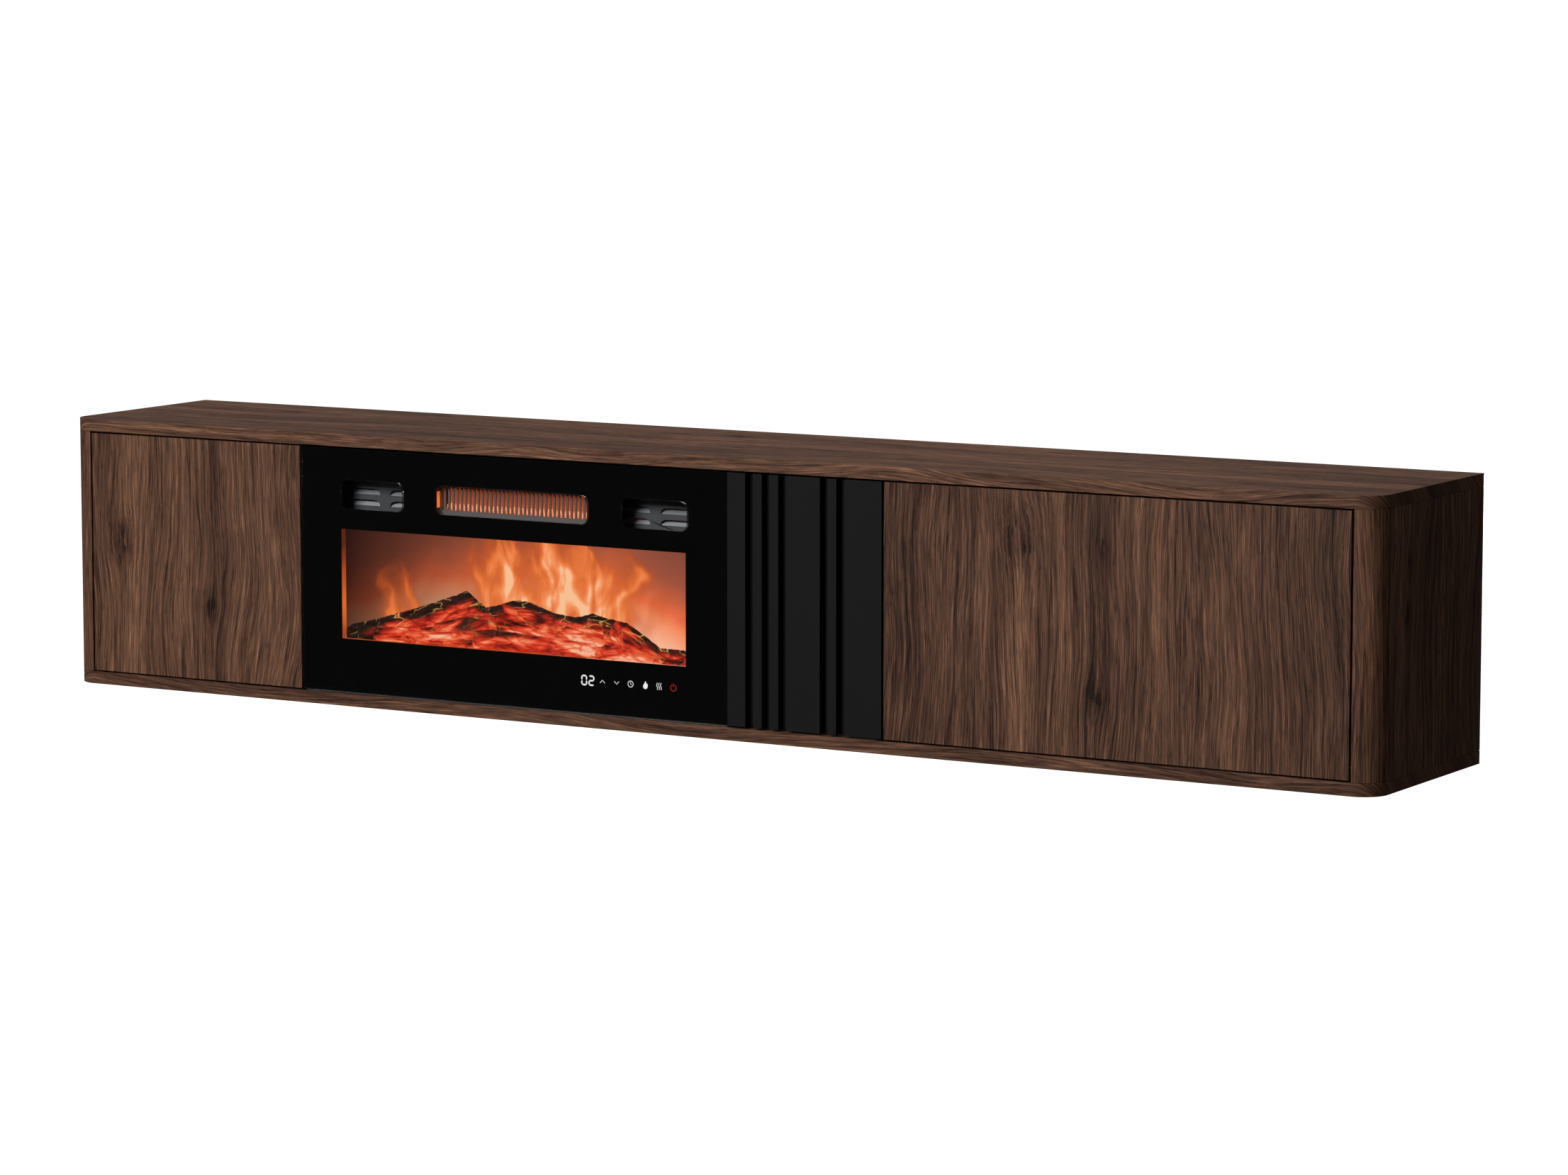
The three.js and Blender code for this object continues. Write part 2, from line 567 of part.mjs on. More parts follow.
const spindleBore = SPINDLE.shaft + FIT;
const BEARING = { x0: -545, x1: -541, half: 10 };
piece('spindle_bearing', cut(
  block([BEARING.x0, BEARING.x1], [SPINDLE.y - BEARING.half, SPINDLE.y + BEARING.half],
    [FLOOR, SPINDLE.z + BEARING.half]),
  rod(0, spindleAxis, spindleBore, BEARING.x0 - 1, BEARING.x1 + 1),
), whitePlastic);

// The motor is a round can held by a foot plate, with a small gearbox between the two.
const MOTOR = { x0: -10, x1: 8, radius: 24 };
const FOOT = { x0: -18, x1: -15.5, half: 14 };
const GEARBOX = { x0: -16, x1: -9, half: 8, low: 22, high: 6 };
piece('spindle_motor', cut(
  join(
    rod(0, spindleAxis, MOTOR.radius, MOTOR.x0, MOTOR.x1),
    block([FOOT.x0, FOOT.x1], [SPINDLE.y - FOOT.half, SPINDLE.y + FOOT.half],
      [FLOOR, SPINDLE.z + FOOT.half]),
    block([GEARBOX.x0, GEARBOX.x1], [SPINDLE.y - GEARBOX.half, SPINDLE.y + GEARBOX.half],
      [SPINDLE.z - GEARBOX.low, SPINDLE.z - GEARBOX.high]),
  ),
  rod(0, spindleAxis, spindleBore, FOOT.x0 - 1, SPINDLE.x1 + 2),
), zincSteel);

// ---- Heater chamber ---------------------------------------------------------------------

// The grille is one moulding: a rim that meets the frame, and upright bars set back in it.
const GRILLE = { y0: frameBack + FIT, plate: 13, barEnd: 14.6, y1: 20, rim: 2.5, pitch: 6.73, slot: 3.6, bars: 35 };
const RECESS = 0.6;          // the recesses on both sides of the bars are this much larger than the outlet
const SLOT_LOW = OUTLET.z0 + 5.3;
const SLOT_HIGH = OUTLET.z1 - 2.4;
const FIRST_SLOT_X = OUTLET.x0 + 4.6;

function grilleSlot(x) {
  const r = GRILLE.slot / 2;
  const shape = new THREE.Shape();
  shape.moveTo(x - r, SLOT_LOW);
  shape.lineTo(x + r, SLOT_LOW);
  shape.absarc(x, SLOT_HIGH - r, r, 0, Math.PI);
  return shape;
}

const grilleSlots = [];
for (let i = 0; i < GRILLE.bars; i += 1) {
  grilleSlots.push(grilleSlot(FIRST_SLOT_X + i * GRILLE.pitch));
}
piece('heater_grille', cut(
  upright(rectangle(OUTLET, CUTOUT_RADIUS, GRILLE.rim), GRILLE.y0, GRILLE.y1 - GRILLE.y0),
  upright(rectangle(OUTLET, CUTOUT_RADIUS, RECESS), GRILLE.y0 - 1, GRILLE.plate - GRILLE.y0 + 1),
  upright(rectangle(OUTLET, CUTOUT_RADIUS, RECESS), GRILLE.barEnd, GRILLE.y1 - GRILLE.barEnd + 1),
  upright(grilleSlots, GRILLE.plate - 1, GRILLE.y1 - GRILLE.plate + 2, 2),
), greyPaint);

const DUCT = { ...OUTLET, y0: GRILLE.y1 + FIT, y1: 62 };
const DUCT_ROOM = 3.8;       // the duct's inside is this much larger than the outlet all round
const ductOuter = {
  x0: DUCT.x0 - DUCT_ROOM - SHEET, x1: DUCT.x1 + DUCT_ROOM + SHEET,
  z0: DUCT.z0 - DUCT_ROOM - SHEET, z1: DUCT.z1 + DUCT_ROOM + SHEET,
};
piece('heater_duct', pierced(ductOuter, [DUCT], 0, DUCT_ROOM, DUCT.y0, DUCT.y1 - DUCT.y0), zincSteel);

// The heating element is a comb of fins between two end blocks, all strung on one core.
const CORE = { y0: 38, y1: 48, low: 14, high: 22 };
const FINS = { gaps: 30, y0: 35, y1: 51, half: 0.6, margin: 1 };
const END_BLOCK = { outer: 3.2, inner: 2, reach: 3 };
function heatingElement() {
  const { x0, x1, z0, z1 } = DUCT;
  const depth = [CORE.y0, CORE.y1];
  const core = block([x0 + 1, x1 - 1], depth, [z0 + CORE.low, z0 + CORE.high]);
  const first = x0 + END_BLOCK.inner;
  const pitch = (x1 - x0 - 2 * END_BLOCK.inner) / FINS.gaps;
  const fins = [];
  for (let i = 0; i <= FINS.gaps; i += 1) {
    const x = first + i * pitch;
    fins.push(block(
      [x - FINS.half, x + FINS.half], [FINS.y0, FINS.y1], [z0 + FINS.margin, z1 - FINS.margin]));
  }
  const height = [z0 - END_BLOCK.reach, z1 + END_BLOCK.reach];
  const ends = [
    block([x0 - END_BLOCK.outer, x0 + END_BLOCK.inner], depth, height),
    block([x1 - END_BLOCK.inner, x1 + END_BLOCK.outer], depth, height),
  ];
  return join(core, ...fins, ...ends);
}

piece('heating_element', heatingElement(), aluminium);

const FAN = { y: 94, z: 298, radius: 22, shaft: 3, x0: -380, x1: -150, blades: 16, disc: 2 };
const SHAFT_LEFT = 12;       // how far the shaft stands out of the wheel on either side
const SHAFT_RIGHT = 34;
const BLADE = { thickness: 0.8, depth: 6, pitch: 35, inset: 3.6 };
const fanAxis = [0, FAN.y, FAN.z];
const FAN_BORE = FAN.shaft + FIT;

function blowerWheel() {
  const shaft = rod(0, fanAxis, FAN.shaft, FAN.x0 - SHAFT_LEFT, FAN.x1 + SHAFT_RIGHT, 16);
  const middle = (FAN.x0 + FAN.x1) / 2;
  const discs = [FAN.x0, middle, FAN.x1 - FAN.disc].map((x) => rod(0, fanAxis, FAN.radius, x, x + FAN.disc));
  const blades = [];
  for (let i = 0; i < FAN.blades; i += 1) {
    const blade = new THREE.BoxGeometry(FAN.x1 - FAN.x0 - 1, BLADE.thickness, BLADE.depth);
    blade.rotateX(THREE.MathUtils.degToRad(BLADE.pitch));
    blade.translate(0, 0, FAN.radius - BLADE.inset);
    blade.rotateX((i * Math.PI * 2) / FAN.blades);
    blades.push(blade.translate(middle, FAN.y, FAN.z));
  }
  return join(shaft, ...discs, ...blades);
}

piece('blower_wheel', blowerWheel(), aluminium);

// The scroll wraps the wheel from below the duct round the back, and carries it in its two cheeks.
const SCROLL = { radius: 28, wall: 1.5, from: Math.PI * 1.22, to: Math.PI * 2.1 };
const CHEEK = { inner: 6, outer: 9, footHalf: 8 };
function scroll() {
  const wall = new THREE.Shape();
  wall.absarc(FAN.y, FAN.z, SCROLL.radius, SCROLL.from, SCROLL.to);
  wall.absarc(FAN.y, FAN.z, SCROLL.radius - SCROLL.wall, SCROLL.to, SCROLL.from, true);
  const cheeks = [
    [FAN.x0 - CHEEK.outer, FAN.x0 - CHEEK.inner], [FAN.x1 + CHEEK.inner, FAN.x1 + CHEEK.outer],
  ];
  const foot = [FAN.y - CHEEK.footHalf, FAN.y + CHEEK.footHalf];
  return cut(
    join(
      lengthwise(wall, FAN.x0 - CHEEK.inner - 1, FAN.x1 + CHEEK.inner + 1),
      ...cheeks.map((span) => rod(0, fanAxis, SCROLL.radius, ...span)),
      ...cheeks.map((span) => block(span, foot, [DECK_Z + SHEET + FIT, FAN.z])),
    ),
    rod(0, fanAxis, FAN_BORE, FAN.x0 - CHEEK.outer - 1, FAN.x1 + CHEEK.outer + 1),
  );
}

piece('blower_scroll', scroll(), zincSteel);

const BLOWER_MOTOR = { radius: 19, length: 36 };
const motorStart = FAN.x1 + CHEEK.outer + FIT;
piece('blower_motor', cut(
  rod(0, fanAxis, BLOWER_MOTOR.radius, motorStart, motorStart + BLOWER_MOTOR.length),
  rod(0, fanAxis, FAN_BORE, motorStart - 1, FAN.x1 + SHAFT_RIGHT + 2),
), darkPlastic);

// The thermal cut-out is a round button that sits on top of the duct.
const CUTOUT_SWITCH = { x: -265, y: 42, radius: 8, cap: 6, height: 10 };
const cutoutAxis = [CUTOUT_SWITCH.x, CUTOUT_SWITCH.y, 0];
const ductTop = ductOuter.z1 + FIT;
piece('thermal_cutout', join(
  rod(2, cutoutAxis, CUTOUT_SWITCH.radius, ductTop, ductTop + CUTOUT_SWITCH.height / 2),
  rod(2, cutoutAxis, CUTOUT_SWITCH.cap, ductTop + 1, ductTop + CUTOUT_SWITCH.height),
), whitePlastic);

// Each intake has a louvred plate well behind the glass: a spine with two blades on either side.
const LOUVRE = {
  y: 33, top: 330, spine: 8.3, halfWidth: 66, slot: 46, height: 8.5, rows: [272.9, 288.2], round: 7,
};
const SLAT_BLADE = { overlap: 4, thickness: 1, depth: 10, tilt: -50, back: 4.2, rise: 2.4 };

function louvreSlot(spineX, side, low) {
  const near = spineX + side * LOUVRE.spine;
  const far = near + side * LOUVRE.slot;
  const high = low + LOUVRE.height;
  const shape = new THREE.Shape();
  shape.moveTo(near, low);
  shape.lineTo(near, high - LOUVRE.round);
  shape.quadraticCurveTo(near, high, near + side * LOUVRE.round * 1.6, high);
  shape.lineTo(far, high);
  shape.lineTo(far, low);
  return shape;
}

function louvrePlate(spineX) {
  const plate = block(
    [spineX - LOUVRE.halfWidth, spineX + LOUVRE.halfWidth],
    [LOUVRE.y, LOUVRE.y + SHEET],
    [DECK_Z + SHEET + FIT, LOUVRE.top]);
  const slots = [];
  const blades = [];
  for (const side of [-1, 1]) {
    for (const low of LOUVRE.rows) {
      slots.push(upright(louvreSlot(spineX, side, low), LOUVRE.y - 1, SHEET + 2, 4));
      const width = LOUVRE.slot + SLAT_BLADE.overlap;
      const blade = new THREE.BoxGeometry(width, SLAT_BLADE.thickness, SLAT_BLADE.depth);
      blade.rotateX(THREE.MathUtils.degToRad(SLAT_BLADE.tilt));
      const x = spineX + side * (LOUVRE.spine + LOUVRE.slot / 2);
      blades.push(blade.translate(x, LOUVRE.y + SLAT_BLADE.back, low + SLAT_BLADE.rise));
    }
  }
  return join(cut(plate, ...slots), ...blades);
}

piece('left_vent_plate', louvrePlate(-490), louvreGrey);
piece('right_vent_plate', louvrePlate(-58), louvreGrey);

// ---- Electronics ------------------------------------------------------------------------

const DISPLAY_BACK = 8;
const touchBack = DISPLAY_BACK + FIT + BOARD_THICKNESS;
piece('display_module', block([-160, -131], [FRAME_Y, DISPLAY_BACK], [52, 75]), darkPlastic);
piece('touch_board', block(
  [CONTROLS.x0, CONTROLS.x1], [DISPLAY_BACK + FIT, touchBack], [CONTROLS.z0 + 2, CONTROLS.z1 - 2],
), circuitBoard);

// The power board carries a transformer, two relays and a round capacitor.
const POWER_PARTS = [
  { x: [-312, -284], y: [104, 134], height: 24 },
  { x: [-272, -253], y: [104, 119], height: 17 },
  { x: [-246, -227], y: [104, 119], height: 17 },
];
const CAPACITOR = { x: -206, y: 118, radius: 8, height: 20 };
piece('power_board', join(
  block([-320, -180], [96, 142], [FLOOR, FLOOR + BOARD_THICKNESS]),
  ...POWER_PARTS.map(({ x, y, height }) => block(x, y, [FLOOR + SOLDER, FLOOR + height])),
  rod(2, [CAPACITOR.x, CAPACITOR.y, 0], CAPACITOR.radius, FLOOR + SOLDER, FLOOR + CAPACITOR.height, 16),
), circuitBoard);

export default lowboard;
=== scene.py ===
# %% [markdown]
# # A wall-hung lowboard with an electric fireplace
#
# The cabinet is walnut decor board with two rounded front corners. A black glass fireplace and a
# black slatted panel sit between its two doors. The imported model gives every piece its place, and
# this script gives every piece its finish, in metres and in the same frame.
#
# It starts by loading that frame and keeping the size of the model.

# %% Load the frame
import json
import math

import bmesh
import bpy
from mathutils import Matrix, Vector, noise


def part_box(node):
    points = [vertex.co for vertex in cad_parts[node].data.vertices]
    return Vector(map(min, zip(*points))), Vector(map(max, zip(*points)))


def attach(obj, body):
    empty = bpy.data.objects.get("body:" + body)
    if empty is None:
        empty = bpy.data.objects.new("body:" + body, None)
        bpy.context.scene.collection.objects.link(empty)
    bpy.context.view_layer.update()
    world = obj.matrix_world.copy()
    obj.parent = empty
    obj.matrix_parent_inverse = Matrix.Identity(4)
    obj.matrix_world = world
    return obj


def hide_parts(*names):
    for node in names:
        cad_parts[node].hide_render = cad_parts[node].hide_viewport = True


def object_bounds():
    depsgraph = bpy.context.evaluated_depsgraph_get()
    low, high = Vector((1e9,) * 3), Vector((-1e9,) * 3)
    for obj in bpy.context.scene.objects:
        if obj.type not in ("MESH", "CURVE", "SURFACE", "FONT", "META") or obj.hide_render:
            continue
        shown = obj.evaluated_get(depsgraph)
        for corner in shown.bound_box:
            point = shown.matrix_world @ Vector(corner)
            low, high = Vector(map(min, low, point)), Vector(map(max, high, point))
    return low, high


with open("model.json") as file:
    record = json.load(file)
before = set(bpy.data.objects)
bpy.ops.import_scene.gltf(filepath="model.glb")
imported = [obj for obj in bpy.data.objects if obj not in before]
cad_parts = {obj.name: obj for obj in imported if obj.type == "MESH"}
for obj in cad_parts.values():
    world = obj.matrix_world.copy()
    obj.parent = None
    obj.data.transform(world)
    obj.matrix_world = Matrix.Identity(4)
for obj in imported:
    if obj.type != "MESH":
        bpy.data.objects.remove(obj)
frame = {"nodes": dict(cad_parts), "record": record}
CAD_BOX = [[*corner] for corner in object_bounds()]
MM = 0.001
NODES = frame["nodes"]
ROOT = "lowboard"
BODY_OF = {
    node: body
    for body, members in frame["record"]["behaviour"]["bodies"].items()
    for node in members
}
SLOT_OF = {part["node"]: part["material_slot"] for part in frame["record"]["subparts"]}
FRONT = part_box("front_glass")[0].y

# %% [markdown]
# ## Colours and nodes
#
# Colours are written as they look on a screen, in sRGB hex, and one function turns them into the
# linear numbers that the renderer works with. The others add one shader node each and give it its
# settings and inputs: a sum, a dot product, a change of range, a cloud of noise, a colour blend.

# %% Colour and node helpers
def linear(code):
    channels = [int(code[i:i + 2], 16) / 255 for i in (1, 3, 5)]
    return tuple(c / 12.92 if c <= 0.04045 else ((c + 0.055) / 1.055) ** 2.4 for c in channels) + (1.0,)


def connect(node, inputs):
    for key, value in inputs.items():
        if isinstance(value, bpy.types.Node):
            value = value.outputs[0]
        if isinstance(value, bpy.types.NodeSocket):
            node.id_data.links.new(value, node.inputs[key])
        else:
            node.inputs[key].default_value = value


def add(tree, kind, inputs=None, **settings):
    node = tree.nodes.new(kind)
    for name, value in settings.items():
        setattr(node, name, value)
    connect(node, inputs or {})
    return node


def maths(tree, operation, *values):
    return add(tree, "ShaderNodeMath", dict(enumerate(values)), operation=operation)


def dot(tree, first, second):
    return add(tree, "ShaderNodeVectorMath", {0: first, 1: second}, operation="DOT_PRODUCT").outputs["Value"]


def spread(tree, value, low, high, start=0.0, end=1.0, **settings):
    return add(tree, "ShaderNodeMapRange", {0: value, 1: low, 2: high, 3: start, 4: end}, **settings)


def cloud(tree, place, scale, detail, **more):
    return add(tree, "ShaderNodeTexNoise", {"Vector": place, "Scale": scale, "Detail": detail, **more})


def mixed(tree, share, first, second):
    return add(tree, "ShaderNodeMix", {0: share, 6: first, 7: second}, data_type="RGBA").outputs[2]


def place_in_frame(tree):
    return add(tree, "ShaderNodeTexCoord").outputs["Object"]


def new_material(name, **shader_values):
    material = bpy.data.materials.new(name)
    material.use_nodes = True
    tree = material.node_tree
    tree.nodes.clear()
    shader = add(tree, "ShaderNodeBsdfPrincipled")
    add(tree, "ShaderNodeOutputMaterial", {"Surface": shader})
    for socket, value in shader_values.items():
        shader.inputs[socket.replace("_", " ")].default_value = value
    return material, tree, shader


def colour_stops(tree, value, stops):
    node = add(tree, "ShaderNodeValToRGB", {0: value})
    ramp = node.color_ramp
    while len(ramp.elements) < len(stops):
        ramp.elements.new(0.5)
    for element, (place, code) in zip(ramp.elements, stops):
        element.position = place
        element.color = linear(code)
    return node


print("walnut mid brown in linear light", [round(c, 3) for c in linear("#5a4031")[:3]])

# %% [markdown]
# ## Walnut decor
#
# The boards are chipboard wrapped in a printed walnut foil with embossed pores. The print runs
# round the edges, so the pattern needs only two directions: along the grain, and across it, where
# across is the sum of the two directions that the foil turns between. Slow noise bends the lines
# and knots push them aside. Growth rings darken quickly and fade slowly, fibres lie about a
# millimetre apart, and pores are short dark scratches. All of it starts from one noise that has its
# own scale across and along, and a weighted sum puts the parts together.

# %% Grain noise
FIBRE_SPACING = 1.1 * MM
PORE_SPACING = 1.7 * MM
RING_SPACING = 15 * MM


def stretched(tree, place, scales, detail, seed, **more):
    u, v = (maths(tree, "MULTIPLY", value, scale) for value, scale in zip(place, scales))
    spot = add(tree, "ShaderNodeCombineXYZ", {0: u, 1: v, 2: seed})
    return cloud(tree, spot, 1.0, detail, **more).outputs["Fac"]


def grain(tree, place, scales, detail, seed, centre=0.0):
    streaks = stretched(tree, place, scales, detail, seed, Roughness=0.55)
    return maths(tree, "SUBTRACT", streaks, centre) if centre else streaks


def weighted_sum(tree, total, parts):
    for part, share in parts:
        total = maths(tree, "MULTIPLY_ADD", part, share, total)
    return total


print("fibres every", FIBRE_SPACING / MM, "mm, rings every", RING_SPACING / MM, "mm")

# %% [markdown]
# The grain lines are the lines where one coordinate, measured across the board, stays the same. So
# bending the lines means adding noise to that coordinate. A knot squeezes it towards its own centre,
# which makes the lines run round the knot.

# %% Bent lines and knots
# scale across and along, step in the seed, how far the lines are pushed in metres
BENDS = [((5, 2.2), 1, 0.085), ((14, 6), 2, 0.011), ((60, 26), 8, 0.0011)]
KNOT_STRETCH = 1.9
KNOT_FADE = 0.37
KNOT_PULL = -0.62


def bent_lines(tree, side, run, seed, knots):
    bent = weighted_sum(tree, side, [
        (grain(tree, (side, run), scales, 1, seed + step, 0.5), push) for scales, step, push in BENDS])
    dark = None
    for knot_side, knot_run, size in knots:
        off_side = maths(tree, "SUBTRACT", side, knot_side)
        off_run = maths(tree, "SUBTRACT", run, knot_run)
        wide = maths(tree, "DIVIDE", off_side, size)
        tall = maths(tree, "DIVIDE", off_run, size * KNOT_STRETCH)
        spot = add(tree, "ShaderNodeCombineXYZ", {0: wide, 1: tall, 2: 0.0})
        ragged = grain(tree, (side, run), (90, 60), 2, seed + 9, 0.5)
        far = weighted_sum(tree, dot(tree, spot, spot), [(ragged, 1.1)])
        near = maths(tree, "POWER", KNOT_FADE, far)
        push = maths(tree, "MULTIPLY", off_side, near)
        bent = weighted_sum(tree, bent, [(push, KNOT_PULL)])
        core = maths(tree, "POWER", near, 3.0)
        heart = weighted_sum(tree, core, [(near, 0.30)])
        dark = heart if dark is None else maths(tree, "MAXIMUM", dark, heart)
    return bent, dark


print("bends", len(BENDS))

# %% [markdown]
# The rings are counted along the bent coordinate, and the fraction of the count says where in its
# ring a point lies. Where two planks meet in the foil, the tone jumps.

# %% Growth rings
def growth_rings(tree, place, seed):
    turns = maths(tree, "MULTIPLY", place[0], 1 / RING_SPACING)
    turns = weighted_sum(tree, turns, [(grain(tree, place, (22, 2.2), 2, seed + 5), 3.4)])
    ring = maths(tree, "FRACT", turns)
    rise = spread(tree, ring, 0.0, 0.10, interpolation_type="SMOOTHSTEP")
    fall = spread(tree, ring, 0.05, 0.55, 1.0, 0.0)
    fall = maths(tree, "POWER", fall, 2.2)
    ring = maths(tree, "MULTIPLY", rise, fall)
    patchy = grain(tree, place, (34, 5), 1, seed + 10)
    strong = spread(tree, patchy, 0.35, 0.65)
    return maths(tree, "MULTIPLY", ring, strong)


def board_joint(tree, side, tone, joint):
    beyond = maths(tree, "GREATER_THAN", side, joint)
    fade = spread(tree, side, joint, joint + 0.18, 1.0, 0.0)
    shade = maths(tree, "MULTIPLY", beyond, fade)
    before = maths(tree, "SUBTRACT", 1.0, beyond)
    return weighted_sum(tree, tone, [(before, -0.09), (shade, 0.08)])


print("ring spacing", round(RING_SPACING / MM, 1), "mm")

# %% [markdown]
# The tone adds these parts up, from hand-wide zones down to single fibres, and a colour ramp turns
# the tone into walnut brown. The pores are rougher and lie a little deeper than the wood around
# them. All the walnut looks matt, because the foil's lacquer is matt.

# %% Walnut foil
WALNUT_STOPS = [
    (0.00, "#1c100b"), (0.20, "#362219"), (0.40, "#4d3427"),
    (0.58, "#614434"), (0.78, "#7e5843"), (1.00, "#9e745a"),
]
MIDDLE_TONE = 0.51
# scale across and along, detail, step in the seed, share in the tone
LAYERS = [((26, 1.5), 3, 3, 0.66), ((8, 0.9), 1, 11, 0.30), ((290, 4), 4, 4, 0.88)]


def walnut(name, along, across, seed, knots=(), joint=None):
    material, tree, shader = new_material(name, Specular_IOR_Level=0.12)
    spot = place_in_frame(tree)
    side, run = (dot(tree, spot, way) for way in (across, along))
    bent, dark = bent_lines(tree, side, run, seed, knots)
    place = (bent, run)
    fibres = grain(tree, place, (1 / FIBRE_SPACING, 22), 2, seed + 6, 0.5)
    pores = grain(tree, place, (1 / PORE_SPACING, 60), 1, seed + 7)
    pores = spread(tree, pores, 0.56, 0.72)
    parts = [
        (grain(tree, place, scales, detail, seed + step, 0.5), share)
        for scales, detail, step, share in LAYERS]
    parts += [(fibres, 1.25), (growth_rings(tree, place, seed), -0.36), (pores, -0.16)]
    if dark is not None:
        parts.append((dark, -0.26))
    tone = weighted_sum(tree, MIDDLE_TONE, parts)
    if joint is not None:
        tone = board_joint(tree, side, tone, joint)
    paint = colour_stops(tree, tone, WALNUT_STOPS)
    rough = spread(tree, pores, 0.0, 1.0, 0.52, 0.72)
    height = weighted_sum(tree, 0.0, [(fibres, 0.5), (pores, -0.7)])
    bump = add(tree, "ShaderNodeBump", {"Height": height, "Strength": 0.5, "Distance": 0.15 * MM})
    connect(shader, {"Base Color": paint, "Roughness": rough, "Normal": bump})
    return material


# %% [markdown]
# Each board has its own piece of the print. A knot is given by where it lies across, where it lies
# along, and its size, all in metres. The right door's foil shows two planks side by side.

# %% Walnut of each board
UP = (0.0, 0.0, 1.0)
LONG = (1.0, 0.0, 0.0)
FACING = (1.0, 1.0, 0.0)       # a standing board: across the face, then round its edge
TURNING = (-1.0, 1.0, 0.0)     # the same on the left, where the edge turns the other way
LYING = (0.0, 1.0, 1.0)        # a lying board: across the top, then down its edge
BACK_RISE = FRONT + 0.373      # what the top board's across reads at its front top edge
walnut_left_door = walnut(
    "walnut_left_door", UP, FACING, 3.1,
    [(FRONT - 0.760, 0.122, 0.017), (FRONT - 0.913, 0.208, 0.026)])
walnut_right_door = walnut(
    "walnut_right_door", UP, FACING, 8.4,
    [(FRONT + 0.502, 0.294, 0.034), (FRONT + 0.613, 0.093, 0.020), (FRONT + 0.621, 0.285, 0.010)],
    joint=FRONT + 0.444)
walnut_top = walnut(
    "walnut_top", LONG, LYING, 14.7,
    [(BACK_RISE + 0.233, -0.783, 0.016), (BACK_RISE + 0.246, -0.053, 0.014)])
walnut_bottom = walnut("walnut_bottom", LONG, LYING, 21.3)
walnut_left = walnut("walnut_left", UP, TURNING, 27.9)
walnut_right = walnut(
    "walnut_right", UP, FACING, 33.2,
    [(FRONT + 1.086, 0.220, 0.013), (FRONT + 1.092, 0.281, 0.011)])
walnut_inside = walnut("walnut_inside", UP, FACING, 41.0)
print("walnut materials", len([m for m in bpy.data.materials if m.name.startswith("walnut")]))

# %% [markdown]
# ## Plain finishes
#
# Painted, moulded and plated pieces share one recipe: a base colour that wanders a little, a
# roughness from how the surface was made, and a fine bump for its texture. Only the numbers
# change: the size of the texture in millimetres, how rough it is, and how metallic.

# %% Painted, moulded and plated finishes
ROUGHNESS_SPREAD = 0.08


def textured(name, colour, roughness, metallic=0.0, grit=1.0, depth=0.03, wander=0.12,
             stretch=(1, 1, 1), **more):
    material, tree, shader = new_material(name, Metallic=metallic, **more)
    place = place_in_frame(tree)
    shaped = add(tree, "ShaderNodeMapping", {"Vector": place, "Scale": stretch})
    fine = cloud(tree, shaped, 1 / (grit * MM), 2.0)
    cloudy = cloud(tree, place, 14.0, 3.0)
    base = linear(colour)
    darker = tuple(c * (1 - wander) for c in base[:3]) + (1.0,)
    lighter = tuple(min(1.0, c * (1 + wander)) for c in base[:3]) + (1.0,)
    blend = mixed(tree, cloudy, darker, lighter)
    rough = spread(tree, fine, 0.0, 1.0, roughness - ROUGHNESS_SPREAD, roughness + ROUGHNESS_SPREAD)
    bump = add(tree, "ShaderNodeBump", {"Height": fine, "Strength": 0.4, "Distance": depth * MM})
    connect(shader, {"Base Color": blend, "Roughness": rough, "Normal": bump})
    return material


# foil on grooved MDF: a soft even black that mirrors almost nothing
black_foil = textured("black_foiled_mdf", "#101011", 0.65, grit=0.9, depth=0.04, Specular_IOR_Level=0.12)
# lacquered hardboard: brownish black with a faint pebble
black_board = textured("lacquered_hardboard", "#242220", 0.6, grit=1.6, depth=0.05)
# powder coat: a fine orange peel that breaks the highlights up
black_powder = textured("black_powder_coat", "#0b0b0c", 0.5, grit=0.7, depth=0.05)
# zinc plate: cold grey, clouded in patches as wide as a finger
zinc = textured("zinc_plated_sheet", "#a9adb0", 0.38, metallic=1.0, grit=6.0, depth=0.01, wander=0.18)
# heatproof paint: a dull warm grey that lets the glow behind it stand out
grey_paint = textured("heatproof_grey_paint", "#4c4846", 0.5, grit=0.8, depth=0.03)
# satin paint: smoother, with a soft light along every edge
louvre_paint_and_blade_light = textured("louvre_satin_paint_and_painted_blade_light", "#37393c", 0.45, grit=0.8, depth=0.03)
# moulded plastic: the even matt grain of a spark-eroded mould
dark_plastic = textured("moulded_black_plastic", "#18181a", 0.48, grit=0.6, depth=0.03)
white_plastic = textured("moulded_white_plastic", "#d9d8d2", 0.45, grit=0.6, depth=0.02, wander=0.04)
# turned brass: yellow and shiny, with tight tool marks
turned_brass = textured("turned_brass", "#c19a4b", 0.3, metallic=1.0, grit=0.5, depth=0.01)
# drawn aluminium: bright, with reflections pulled out along its length
bright_aluminium = textured(
    "bright_aluminium", "#c4c7ca", 0.25, metallic=1.0, grit=3.0, depth=0.01, stretch=(0.1, 1, 1))
# solder mask: a glossy green lacquer over the board's weave
solder_mask = textured("green_solder_mask", "#1d4d2e", 0.35, grit=1.2, depth=0.03)
# screw steel: bright and smooth, a point of light on a dark sheet
steel_screw = textured("screw_steel", "#8d9092", 0.3, metallic=1.0, grit=0.6, depth=0.01)
print("materials so far", len(bpy.data.materials))
